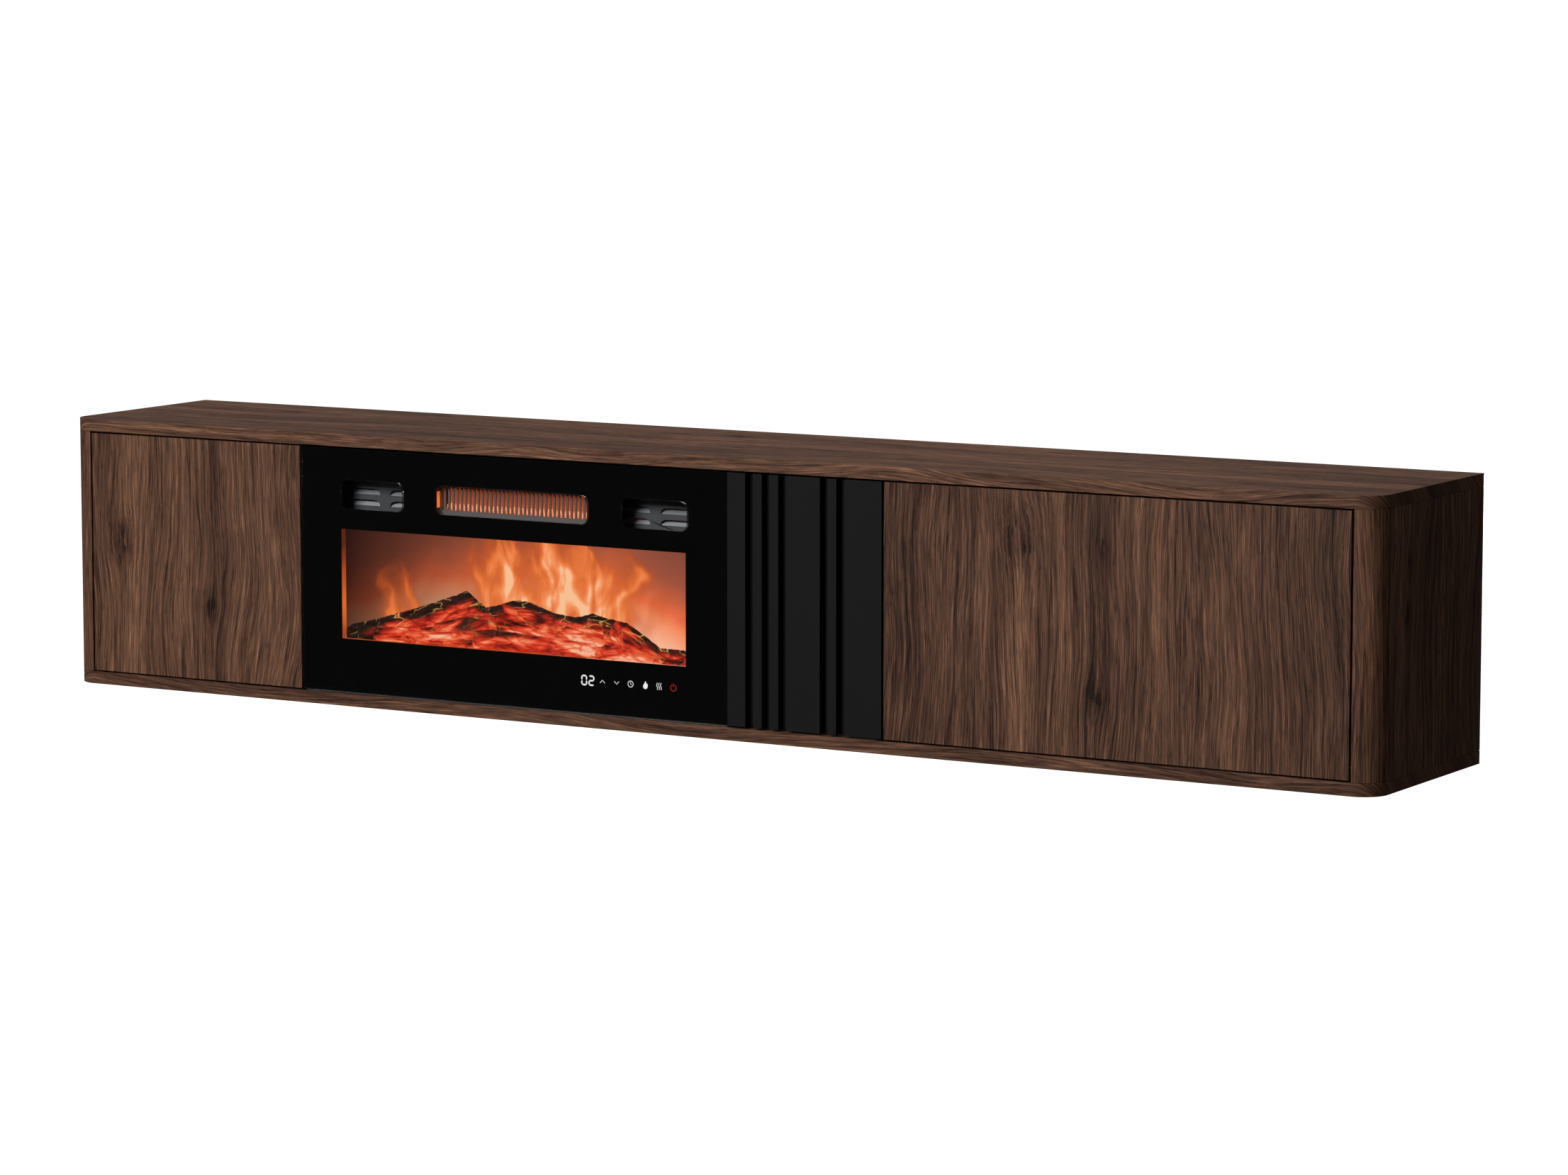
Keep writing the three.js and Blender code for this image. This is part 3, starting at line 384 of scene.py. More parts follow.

# %% [markdown]
# The louvre plates have blades behind a dark plate, and the blades get a paler paint, painted light
# for the light that falls on them in the recess, so the paint changes with depth.

# %% Louvre blades
BLADE_START = FRONT + 34.3 * MM
BLADE_PAINTED_LIGHT = "#8a8c8e"
louvre_tree = louvre_paint_and_blade_light.node_tree
louvre_shader = next(n for n in louvre_tree.nodes if n.type == "BSDF_PRINCIPLED")
plate_paint = louvre_shader.inputs["Base Color"].links[0].from_socket
louvre_place = place_in_frame(louvre_tree)
depth = add(louvre_tree, "ShaderNodeSeparateXYZ", {0: louvre_place}).outputs[1]
behind_plate = maths(louvre_tree, "GREATER_THAN", depth, BLADE_START)
# painted light: the blades behind the plate are made paler than the plate's own paint
pale = mixed(louvre_tree, behind_plate, plate_paint, linear(BLADE_PAINTED_LIGHT))
connect(louvre_shader, {"Base Color": pale})
print("blades start at y", round(BLADE_START, 4))

# %% [markdown]
# ## Glass and its black print
#
# The front is one toughened pane. Its back is screen printed in black, and the print leaves the
# fire window and the symbols clear. The pane is real glass with thickness, and the print is a thin
# sheet just behind it, so the edges of the cut-outs catch the light as real glass does.

# %% Glass and print
GLASS_IOR = 1.46
clear_glass, _, _ = new_material(
    "toughened_glass", Base_Color=linear("#ffffff"), Roughness=0.0, Transmission_Weight=1.0, IOR=GLASS_IOR)
black_print = textured(
    "black_ceramic_print", "#020202", 0.6, grit=1.0, depth=0.005, wander=0.3, Specular_IOR_Level=0.0)
print("glass ior", GLASS_IOR)

# %% [markdown]
# ## The fire picture
#
# Behind the glass a translucent screen shows flames thrown on it from behind. It is a light source
# of its own: a glow that is peach just over the logs and dull red at the top, with tongues of flame
# drawn on it. How high a point stands over the logs is measured from a rough outline of the log
# bed, made of two straight flanks and a level crest. The left third lies in shade.

# %% Back wall of the fire
WINDOW_LOW, WINDOW_HIGH = 0.088, 0.244
BACK_WALL = [
    (0.0, "#ffc4a0"), (0.16, "#fca47c"), (0.26, "#fc9264"), (0.36, "#ee7048"), (0.50, "#c86242"),
    (0.66, "#a2543e"), (1.0, "#844838"),
]
# how fast z changes with x, and z where x is 0, on both flanks of the log bed, then the crest's z
LEFT_FLANK, RIGHT_FLANK, CREST = (0.31, 0.253), (-0.42, 0.090), 0.140
DARK_FROM, DARK_TO, DARKEST = -0.54, -0.22, 0.10


def back_wall(tree, x, z):
    left, right = (weighted_sum(tree, start, [(x, slope)]) for slope, start in (LEFT_FLANK, RIGHT_FLANK))
    ridge = maths(tree, "MINIMUM", left, right)
    ridge = maths(tree, "MINIMUM", ridge, CREST)
    above = maths(tree, "SUBTRACT", z, ridge)
    height = spread(tree, above, 0.0, WINDOW_HIGH - WINDOW_LOW, 0.12, 1.12)
    height = weighted_sum(tree, height, [(stretched(tree, (x, z), (14, 9), 3, 8.0, Distortion=0.8), -0.24)])
    wall = colour_stops(tree, height, BACK_WALL)
    darker = spread(tree, x, DARK_FROM, DARK_TO, DARKEST, 1.0)
    return add(tree, "ShaderNodeVectorMath", {0: wall, 1: darker}, operation="MULTIPLY")


print("window height mm", round((WINDOW_HIGH - WINDOW_LOW) / MM))

# %% [markdown]
# A tongue is a soft bell across a bent line. Where tongues overlap, their strengths add up, and
# the sum picks the colour: orange at the rim, peach in the middle. The wide faint tongues give the
# flame its body, the thin ones its edges. The x that they are measured in is bent by noise first.

# %% Flame tongues
# foot x, foot z, tip x, tip z, sideways bend, width at the foot, strength
TONGUES = [
    (-0.292, 0.150, -0.290, 0.335, 0.004, 0.046, 0.46),
    (-0.228, 0.150, -0.226, 0.345, 0.004, 0.034, 0.52),
    (-0.165, 0.140, -0.176, 0.335, 0.006, 0.044, 0.62),
    (-0.098, 0.140, -0.096, 0.300, 0.002, 0.030, 0.40),
    (-0.446, 0.118, -0.448, 0.215, 0.000, 0.016, 0.30),
    (-0.463, 0.130, -0.456, 0.205, -0.006, 0.002, 0.42),
    (-0.438, 0.132, -0.450, 0.205, 0.006, 0.002, 0.36),
    (-0.270, 0.150, -0.311, 0.275, 0.008, 0.008, 0.42),
    (-0.300, 0.168, -0.320, 0.262, -0.022, 0.010, 0.34),
    (-0.262, 0.150, -0.256, 0.280, -0.012, 0.004, 0.36),
    (-0.235, 0.150, -0.238, 0.300, 0.016, 0.005, 0.34),
    (-0.196, 0.150, -0.252, 0.285, 0.018, 0.008, 0.42),
    (-0.150, 0.150, -0.200, 0.270, -0.024, 0.008, 0.46),
    (-0.150, 0.150, -0.166, 0.262, 0.013, 0.006, 0.44),
    (-0.125, 0.165, -0.104, 0.256, -0.012, 0.004, 0.30),
    (-0.112, 0.160, -0.088, 0.256, 0.012, 0.005, 0.38),
    (-0.046, 0.140, -0.042, 0.222, 0.004, 0.010, 0.18),
]
FLAME_STOPS = [(0.0, "#a84818"), (0.30, "#cc5c24"), (0.60, "#ee7c40"), (0.86, "#fc9e66"), (1.0, "#fec496")]
# scales across and up, how far the flames are pushed sideways in metres
LICKS = [((11, 13), 0.085), ((34, 26), 0.030)]
TIP_WIDTH = 0.0055


def flame_strength(tree, x, z):
    licked = x
    for scales, reach in LICKS:
        lick = stretched(tree, (x, z), scales, 1, 5.0)
        lick = maths(tree, "SUBTRACT", lick, 0.5)
        licked = weighted_sum(tree, licked, [(lick, reach)])
    total = 0.0
    for foot_x, foot_z, tip_x, tip_z, bend, width, strength in TONGUES:
        climb = spread(tree, z, foot_z, tip_z)
        rest = maths(tree, "SUBTRACT", 1.0, climb)
        bow = weighted_sum(tree, tip_x - foot_x, [(rest, 4 * bend)])
        centre = weighted_sum(tree, foot_x, [(bow, climb)])
        off = maths(tree, "SUBTRACT", licked, centre)
        wide = weighted_sum(tree, TIP_WIDTH, [(rest, width)])
        share = maths(tree, "DIVIDE", off, wide)
        square = maths(tree, "MULTIPLY", share, share)
        bell = maths(tree, "POWER", 0.35, square)
        fade = spread(tree, climb, 0.35, 1.0, strength, 0.0)
        total = weighted_sum(tree, total, [(bell, fade)])
    soft = stretched(tree, (x, z), (34, 12), 4, 1.0, Distortion=1.6)
    ragged = spread(tree, soft, 0.30, 0.70, 0.55, 1.25)
    return maths(tree, "MULTIPLY", total, ragged)


print("flame tongues", len(TONGUES))

# %% [markdown]
# The picture lays the flames over the wall. It only glows: a lit screen reflects nothing that the
# eye would notice.

# %% Flame screen
def flame_picture():
    material, tree, shader = new_material(
        "flame_picture", Base_Color=linear("#0a0504"), Roughness=0.6, Specular_IOR_Level=0.0)
    place = add(tree, "ShaderNodeSeparateXYZ", {0: place_in_frame(tree)})
    x, z = place.outputs[0], place.outputs[2]
    total = flame_strength(tree, x, z)
    paint = colour_stops(tree, total, FLAME_STOPS)
    cover = spread(tree, total, 0.02, 0.48)
    both = mixed(tree, cover, back_wall(tree, x, z), paint)
    connect(shader, {"Emission Color": both, "Emission Strength": 1.0})
    return material


flame_screen_look = flame_picture()
print("nodes in the flame picture", len(flame_screen_look.node_tree.nodes))

# %% [markdown]
# ## Eased copies of the CAD pieces
#
# A CAD node comes in as loose triangles with knife-sharp edges. A real edge is always eased a
# little, and that thin bright line is what makes a board read as a board. So each node is copied,
# its doubles are merged, its flat faces are joined, and its sharp edges get a small bevel. The copy
# rides on the same body and stands for the node.

# %% Easing function
EASE_ANGLE = math.radians(40)


def merged_copy(node):
    bm = bmesh.new()
    bm.from_mesh(NODES[node].data)
    bmesh.ops.remove_doubles(bm, verts=bm.verts, dist=1e-6)
    bmesh.ops.dissolve_limit(bm, angle_limit=math.radians(0.6), verts=bm.verts, edges=bm.edges)
    return bm


def finished(bm, name, body, material, nodes=(), smooth_angle=35):
    mesh = bpy.data.meshes.new(name)
    bm.to_mesh(mesh)
    bm.free()
    mesh.materials.clear()
    mesh.materials.append(material)
    for face in mesh.polygons:
        face.use_smooth = True
        face.material_index = 0
    mesh.set_sharp_from_angle(angle=math.radians(smooth_angle))
    piece = bpy.data.objects.new(name, mesh)
    bpy.context.scene.collection.objects.link(piece)
    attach(piece, body)
    if nodes:
        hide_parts(*nodes)
    return piece


def bevelled(bm, width, segments):
    sharp = [e for e in bm.edges if e.is_manifold and e.calc_face_angle() > EASE_ANGLE]
    bmesh.ops.bevel(bm, geom=sharp, offset=width, offset_type="OFFSET", affect="EDGES",
                    segments=segments, profile=0.5, material=-1, clamp_overlap=True)


def eased(node, material, width):
    bm = merged_copy(node)
    bevelled(bm, width, 2)
    piece = finished(bm, f"{node}_eased", BODY_OF[node], material, [node])
    piece.modifiers.new("flat_faces_stay_flat", "WEIGHTED_NORMAL").keep_sharp = True
    return piece


BOARD_EASE = 0.4 * MM
PLATE_EASE = 0.25 * MM
FINE_EASE = 0.15 * MM
FINISHES = [
    ("top_panel", walnut_top, BOARD_EASE), ("bottom_panel", walnut_bottom, BOARD_EASE),
    ("left_corner_post", walnut_left, BOARD_EASE), ("right_corner_post", walnut_right, BOARD_EASE),
    ("left_side_panel", walnut_left, BOARD_EASE), ("right_side_panel", walnut_right, BOARD_EASE),
    ("left_partition centre_partition right_partition", walnut_inside, BOARD_EASE),
    ("left_door", walnut_left_door, BOARD_EASE), ("right_door", walnut_right_door, BOARD_EASE),
    ("slat_panel", black_foil, 0.9 * MM), ("left_back_panel right_back_panel", black_board, PLATE_EASE),
    ("left_latch_body right_latch_body", white_plastic, PLATE_EASE),
    ("left_latch_plunger right_latch_plunger", dark_plastic, PLATE_EASE),
    ("front_glass", clear_glass, PLATE_EASE), ("frame_top frame_bottom", black_powder, FINE_EASE),
    ("heater_grille", grey_paint, FINE_EASE), ("rear_cover", zinc, FINE_EASE),
    ("left_vent_plate right_vent_plate", louvre_paint_and_blade_light, FINE_EASE),
    ("blower_motor", dark_plastic, PLATE_EASE), ("thermal_cutout", white_plastic, FINE_EASE),
    ("spindle_motor", zinc, PLATE_EASE), ("spindle_bearing", white_plastic, PLATE_EASE),
    ("power_board", solder_mask, FINE_EASE), ("power_inlet", dark_plastic, PLATE_EASE),
    ("left_wall_hanger right_wall_hanger", zinc, PLATE_EASE),
]
EASED = []
for names, material, width in FINISHES:
    for node in names.split():
        eased(node, material, width)
        EASED.append(node)
print("eased", len(EASED))

# %% [markdown]
# The pivot pins cross the dark gap beside each door, so they are coloured near black, as painted
# shade, and do not show.

# %% Finishes of the nodes that keep their CAD shape
pin_gap_shade_black = textured("pin_steel_painted_gap_shade", "#1a1a1b", 0.42, metallic=1.0, grit=0.6, depth=0.01)
KEPT = {
    "zinc_steel": zinc, "brass": turned_brass, "white_plastic": white_plastic, "dark_plastic": dark_plastic,
    "black_steel": black_powder, "screen_plastic": flame_screen_look, "circuit_board": solder_mask,
    "aluminium": bright_aluminium,
}
for node, obj in NODES.items():
    if node in EASED or SLOT_OF[node] not in KEPT:
        continue
    obj.data.materials.clear()
    obj.data.materials.append(pin_gap_shade_black if node.endswith("_pin") else KEPT[SLOT_OF[node]])
print("kept as they are", len(NODES) - len(EASED))

# %% [markdown]
# ## Small shapes by curve
#
# Flat parts with holes, such as the print on the glass, are drawn as one flat curve. Wires and
# the strokes of the symbols are drawn as a round curve. Both become meshes.

# %% Flat outlines and wires
def from_curve(curve):
    holder = bpy.data.objects.new("drawing", curve)
    mesh = bpy.data.meshes.new_from_object(holder)
    bm = bmesh.new()
    bm.from_mesh(mesh)
    bpy.data.objects.remove(holder)
    bmesh.ops.remove_doubles(bm, verts=bm.verts, dist=1e-7)
    return bm


def draw(curve, points, closed):
    spline = curve.splines.new("POLY")
    spline.points.add(len(points) - 1)
    for target, point in zip(spline.points, points):
        target.co = (*point, 1.0)
    spline.use_cyclic_u = closed


def flat(loops, front, back):
    curve = bpy.data.curves.new("outline", "CURVE")
    curve.dimensions = "2D"
    curve.fill_mode = "BOTH"
    curve.extrude = (back - front) / 2
    for loop in loops:
        draw(curve, [(x, z, 0.0) for x, z in loop], True)
    bm = from_curve(curve)
    bmesh.ops.rotate(bm, verts=bm.verts, matrix=Matrix.Rotation(math.radians(90), 3, "X"))
    bmesh.ops.translate(bm, verts=bm.verts, vec=(0, FRONT + (front + back) / 2, 0))
    return bm


def wire(lines, radius):
    curve = bpy.data.curves.new("wire", "CURVE")
    curve.dimensions = "3D"
    curve.bevel_depth = radius
    curve.bevel_resolution = 2
    curve.use_fill_caps = True
    for points in lines:
        draw(curve, points, False)
    return from_curve(curve)


def rounded(x0, x1, z0, z1, radius=0.0, steps=10):
    if not radius:
        return [(x0, z0), (x1, z0), (x1, z1), (x0, z1)]
    centres = [(x1 - radius, z0 + radius, -90), (x1 - radius, z1 - radius, 0),
               (x0 + radius, z1 - radius, 90), (x0 + radius, z0 + radius, 180)]
    turns = [
        (cx, cz, math.radians(start + 90 * i / steps))
        for cx, cz, start in centres for i in range(steps + 1)]
    return [(cx + radius * math.cos(t), cz + radius * math.sin(t)) for cx, cz, t in turns]


print("corner points of a rounded outline", len(rounded(0, 1, 0, 1, 0.1)))

# %% [markdown]
# The print covers the whole pane except the fire window and the three cut-outs. A window or cut-out
# is given as its left, right, low and high edge.

# %% Print on the glass
EDGE = 0.6 * MM
PRINT_DEPTH = (4.10 * MM, 4.22 * MM)
glass_low, glass_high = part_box("front_glass")
WINDOW = (-541.3 * MM, 7.2 * MM, 92.8 * MM, 243.3 * MM)
CUTOUT_RADIUS = 11 * MM
CUTOUTS = [
    (-0.5409, -0.4392, 0.2717, 0.3110), (-0.3864, -0.1444, 0.2719, 0.3110), (-0.0913, 0.0105, 0.2718, 0.3110)]
sheet = rounded(glass_low.x + EDGE, glass_high.x - EDGE, glass_low.z + EDGE, glass_high.z - EDGE)
holes = [
    rounded(x0 - EDGE, x1 + EDGE, z0 - EDGE, z1 + EDGE, CUTOUT_RADIUS + EDGE)
    for x0, x1, z0, z1 in CUTOUTS]
print_bm = flat([sheet, rounded(*WINDOW), *holes], *PRINT_DEPTH)
glass_print = finished(print_bm, "glass_print", ROOT, black_print)
print("print faces", len(glass_print.data.polygons))

# %% [markdown]
# ## Symbols
#
# The display reads two digits, and six touch symbols stand beside it. They shine through the
# print, so they are thin glowing shapes between the glass and the print. The light is an even white,
# and red for the power symbol.

# %% Symbol light
def glowing(name, colour, strength):
    material, _, shader = new_material(name, Base_Color=linear("#050505"), Roughness=0.5)
    connect(shader, {"Emission Color": linear(colour), "Emission Strength": strength})
    return material


white_glow = glowing("white_symbol_light", "#f4f4f2", 0.95)
red_glow = glowing("red_symbol_light", "#d01c1c", 0.9)
SYMBOL_DEPTH = (4.03 * MM, 4.07 * MM)
SEGMENTS = {"0": "abcdef", "2": "abged"}
DIGIT = (9.4 * MM, 14.2 * MM, 2.1 * MM)
print("digit height mm", DIGIT[1] / MM)

# %% [markdown]
# A digit is built from bars with pointed ends, as on a seven-segment display. The other symbols are
# strokes: a round wire pressed flat.

# %% Digits and strokes
def digit(text, x, z):
    width, height, stroke = DIGIT
    half, gap = stroke / 2, 0.25 * MM
    left, right, low, high, middle = x + half, x + width - half, z + half, z + height - half, z + height / 2
    ends = {
        "a": ((left, high), (right, high)), "b": ((right, middle), (right, high)),
        "c": ((right, low), (right, middle)), "d": ((left, low), (right, low)),
        "e": ((left, low), (left, middle)), "f": ((left, middle), (left, high)),
        "g": ((left, middle), (right, middle)),
    }
    loops = []
    for name in SEGMENTS[text]:
        start, end = Vector(ends[name][0]), Vector(ends[name][1])
        way = (end - start).normalized()
        side = Vector((-way.y, way.x)) * half
        start, end = start + way * gap, end - way * gap
        loops.append([tuple(p) for p in (
            start, start + way * half - side, end - way * half - side,
            end, end - way * half + side, start + way * half + side)])
    return loops


def arc(x, z, radius, start, end, steps=20):
    turns = [math.radians(start + (end - start) * i / steps) for i in range(steps + 1)]
    return [(x + radius * math.cos(t), z + radius * math.sin(t)) for t in turns]


def pressed(lines, radius):
    middle = FRONT + sum(SYMBOL_DEPTH) / 2
    bm = wire([[(x, 0.0, z) for x, z in line] for line in lines], radius)
    bmesh.ops.scale(bm, verts=bm.verts, vec=(1, (SYMBOL_DEPTH[1] - SYMBOL_DEPTH[0]) / (2 * radius), 1))
    bmesh.ops.translate(bm, verts=bm.verts, vec=(0, middle, 0))
    return bm


print("bars in a zero", len(SEGMENTS["0"]))

# %% [markdown]
# From the left they are the two digits, an arrow up and one down, a clock, a flame, heat and power.

# %% Row of symbols
SYMBOL_Z = 63.5 * MM
STROKE = 0.42 * MM
digits = digit("0", -155.7 * MM, 56.4 * MM) + digit("2", -144.4 * MM, 56.4 * MM)
finished(flat(digits, *SYMBOL_DEPTH), "display_digits", ROOT, white_glow)

up_x, down_x, clock_x = -122.4 * MM, -100.2 * MM, -78.4 * MM
flame_x, heat_x, power_x = -55.4 * MM, -34.2 * MM, -12.1 * MM
reach, rise = 3.7 * MM, 1.9 * MM
lines = [
    [(up_x - reach, SYMBOL_Z - rise), (up_x, SYMBOL_Z + rise), (up_x + reach, SYMBOL_Z - rise)],
    [(down_x - reach, SYMBOL_Z + rise), (down_x, SYMBOL_Z - rise), (down_x + reach, SYMBOL_Z + rise)],
    arc(clock_x, SYMBOL_Z, 4.1 * MM, 0, 360, 36),
    [(clock_x, SYMBOL_Z + 2.6 * MM), (clock_x, SYMBOL_Z), (clock_x + 2.0 * MM, SYMBOL_Z - 1.2 * MM)],
]
for shift in (-3.0 * MM, 0.0, 3.0 * MM):
    lines.append([
        (heat_x + shift + 0.8 * MM * math.sin(t * 0.7), SYMBOL_Z - 4.6 * MM + t * 0.92 * MM)
        for t in range(11)])
finished(pressed(lines, STROKE), "touch_symbols", ROOT, white_glow)

flame_outline = [
    (0.0, 5.6), (1.2, 3.6), (1.0, 1.9), (2.4, 2.9), (3.6, 0.6), (3.6, -2.0), (2.2, -4.4), (0.0, -5.2),
    (-2.3, -4.4), (-3.6, -2.2), (-3.2, 0.2), (-1.8, 1.8), (-1.0, 3.6),
]
flame_outline = [(flame_x + x * MM, SYMBOL_Z + z * MM) for x, z in flame_outline]
finished(flat([flame_outline], *SYMBOL_DEPTH), "flame_symbol", ROOT, white_glow)
power = [
    arc(power_x, SYMBOL_Z - 0.4 * MM, 4.2 * MM, 115, 425, 30),
    [(power_x, SYMBOL_Z + 1.0 * MM), (power_x, SYMBOL_Z + 5.2 * MM)],
]
finished(pressed(power, STROKE), "power_symbol", ROOT, red_glow)
print("strokes drawn", len(lines) + len(power))

# %% [markdown]
# ## The log bed
#
# The logs are one moulded relief, lit red from below. It is a grid: each column runs from the
# bottom edge over the front to the top edge, and the top edge follows the outline of the CAD
# node. The front bulges where a log lies. Every vertex also remembers where it is along and
# across its log and how far it is below the top, and the finish is drawn in those coordinates.

# %% Where the logs lie
# start x, start z, end x, end z, radius, how far forward it lies
LOGS = [
    (-0.570, 0.088, -0.334, 0.149, 0.021, 0.62),
    (-0.390, 0.110, -0.262, 0.144, 0.017, 0.80),
    (-0.300, 0.142, -0.130, 0.124, 0.024, 0.90),
    (-0.182, 0.132, -0.095, 0.130, 0.021, 0.78),
    (-0.110, 0.132, 0.000, 0.088, 0.020, 0.86),
    (-0.490, 0.098, -0.300, 0.106, 0.017, 0.95),
    (-0.330, 0.102, -0.140, 0.100, 0.019, 1.00),
    (-0.160, 0.098, 0.010, 0.090, 0.017, 0.96),
]
COLUMNS, ROWS = 520, 84
RELIEF_FRONT, RELIEF_BACK = FRONT + 8.7 * MM, FRONT + 16.7 * MM

corners = {(round(v.co.x, 5), round(v.co.z, 5)) for v in NODES["log_set"].data.vertices}
LOG_BASE = min(z for _, z in corners)
outline = sorted(p for p in corners if p[1] > LOG_BASE + MM)


def top_at(x):
    for (x0, z0), (x1, z1) in zip(outline, outline[1:]):
        if x <= x1:
            return z0 + (z1 - z0) * (x - x0) / (x1 - x0)
    return outline[-1][1]


def log_under(x, z):
    best = (0.0, x, z, 0, 0.0, 1.0)
    for number, (x0, z0, x1, z1, radius, forward) in enumerate(LOGS):
        way = Vector((x1 - x0, z1 - z0))
        length = way.length
        way.normalize()
        along = (x - x0) * way.x + (z - z0) * way.y
        across = (z - z0) * way.x - (x - x0) * way.y
        past = max(0.0, -along, along - length)
        bulge = math.sqrt(max(0.0, 1 - (math.hypot(past * 2.5, across) / radius) ** 2))
        if bulge * forward > best[0]:
            best = (bulge * forward, along, across, number, across / radius, 1 - bulge)
    return best


print("logs", len(LOGS), "outline points", len(outline))

# %% [markdown]
# A log's roundness, the bark's furrows and a few knobs add up to how far each vertex stands out. The
# edges of the grid fall back, so the bed closes against the screen behind it.

# %% Log relief
log_bm = bmesh.new()
bmesh.ops.create_grid(log_bm, x_segments=COLUMNS, y_segments=ROWS, size=0.5)
grain_uv = log_bm.loops.layers.uv.new("grain")
below_top = log_bm.verts.layers.float.new("below_top")
log_side = log_bm.verts.layers.float.new("log_side")
crevice = log_bm.verts.layers.float.new("crevice")
first_x, last_x = outline[0][0], outline[-1][0]
where = {}
for vert in log_bm.verts:
    column, row = vert.co.x + 0.5, vert.co.y + 0.5
    x = first_x + (last_x - first_x) * column
    top = top_at(x) - 1.6 * MM * abs(noise.noise(Vector((x * 170, 1.3, 0))))
    z = LOG_BASE + (top - LOG_BASE) * row
    height, along, across, number, side, hollow = log_under(x, z)
    bark = noise.fractal(Vector((along * 55 + number, across * 260, number)), 0.8, 2.0, 4)
    knobs = noise.noise(Vector((x * 60, z * 90, 4.0)))
    fade = (1 - abs(2 * row - 1) ** 10) * min(1.0, 60 * column, 60 * (1 - column))
    relief = min(1.0, max(0.0, 0.12 + 0.74 * height + 0.10 * bark + 0.07 * knobs)) * fade
    vert.co = (x, RELIEF_BACK + (RELIEF_FRONT - RELIEF_BACK) * relief, z)
    vert[below_top] = top - z
    vert[log_side] = side
    vert[crevice] = hollow
    where[vert] = (along + 0.7 * number, across + 0.3 * number)
for face in log_bm.faces:
    for loop in face.loops:
        loop[grain_uv].uv = where[loop.vert]
log_bm.normal_update()
if sum(face.normal.y for face in log_bm.faces) > 0:
    bmesh.ops.reverse_faces(log_bm, faces=log_bm.faces)
print("log relief faces", len(log_bm.faces))

# %% [markdown]
# ## Embers
#
# The bed is painted resin, lit from inside through thin places. The eye sees black bark at the top
# edge, deep red below it, and hot pink patches low down. So one value, the heat, adds up streaks
# along the log, blotches, cracks, how deep a point lies under the top, how low it lies, and a few hot
# hearts. It is lower in the crevices between logs and on the upper side of each log, and the left end
# of the bed is darkened as a painted shadow. A colour ramp turns the heat into light.

# %% Heat of the embers
EMBER_STOPS = [
    (0.0, "#050202"), (0.18, "#200804"), (0.34, "#641008"), (0.50, "#b42010"), (0.66, "#e03e20"),
    (0.84, "#f4784e"), (1.0, "#ffb898"),
]
# x, z, reach, strength of the places where the resin glows hottest
HEARTS = [
    (-0.215, 0.118, 0.110, 0.40), (-0.140, 0.108, 0.080, 0.38), (-0.070, 0.098, 0.060, 0.30),
    (-0.385, 0.106, 0.060, 0.34), (-0.455, 0.102, 0.036, 0.26),
]
HEART_SQUASH = 2.6


def ember_heat(tree, below, place, wisps, blotches, crack):
    side, hollow = (
        add(tree, "ShaderNodeAttribute", attribute_name=name).outputs["Fac"]
        for name in ("log_side", "crevice"))
    spot = add(tree, "ShaderNodeSeparateXYZ", {0: place})
    x, z = spot.outputs[0], spot.outputs[2]
    depth = spread(tree, below, 0.001, 0.014, interpolation_type="SMOOTHSTEP")
    low = spread(tree, z, 0.094, 0.132, 0.16, 0.0)
    # painted shadow: the left end of the bed is darkened
    left_end_shadow = spread(tree, x, -0.525, -0.475, -0.9, 0.0)
    heat = weighted_sum(tree, low, [
        (depth, 0.42), (side, -0.16), (hollow, -0.42), (wisps, 0.80), (blotches, 2.20), (crack, -0.30),
        (left_end_shadow, 1.0)])
    plane = add(tree, "ShaderNodeVectorMath", {0: place, 1: (1.0, 0.0, HEART_SQUASH)}, operation="MULTIPLY")
    for heart_x, heart_z, reach, strength in HEARTS:
        gap = add(tree, "ShaderNodeVectorMath", {
            0: plane, 1: (heart_x, 0.0, HEART_SQUASH * heart_z)}, operation="DISTANCE").outputs["Value"]
        near = spread(tree, gap, 0.0, reach, strength, 0.0, interpolation_type="SMOOTHSTEP")
        heat = maths(tree, "ADD", heat, near)
    return spread(tree, heat, 1.18, 2.60)


print("hot hearts", len(HEARTS))

# %% [markdown]
# Thin gold lines run over the bark where the maker brushed the ridges. They are the edges of a
# cell pattern, kept to some patches and strongest near the top.

# %% Gold veins
def gold_veins(tree, shift, place, below):
    vein_at = add(tree, "ShaderNodeMapping", {"Vector": shift, "Scale": (0.8, 0.55, 1)})
    vein = add(tree, "ShaderNodeTexVoronoi", {"Vector": vein_at, "Scale": 1.0}, feature="DISTANCE_TO_EDGE")
    vein = spread(tree, vein, 0.004, 0.035, 0.9, 0.0)
    patch = cloud(tree, place, 34.0, 2.0)
    patch = spread(tree, patch, 0.45, 0.54)
    rim = spread(tree, below, 0.001, 0.034, 1.0, 0.20)
    vein = maths(tree, "MULTIPLY", vein, patch)
    return maths(tree, "MULTIPLY", vein, rim)
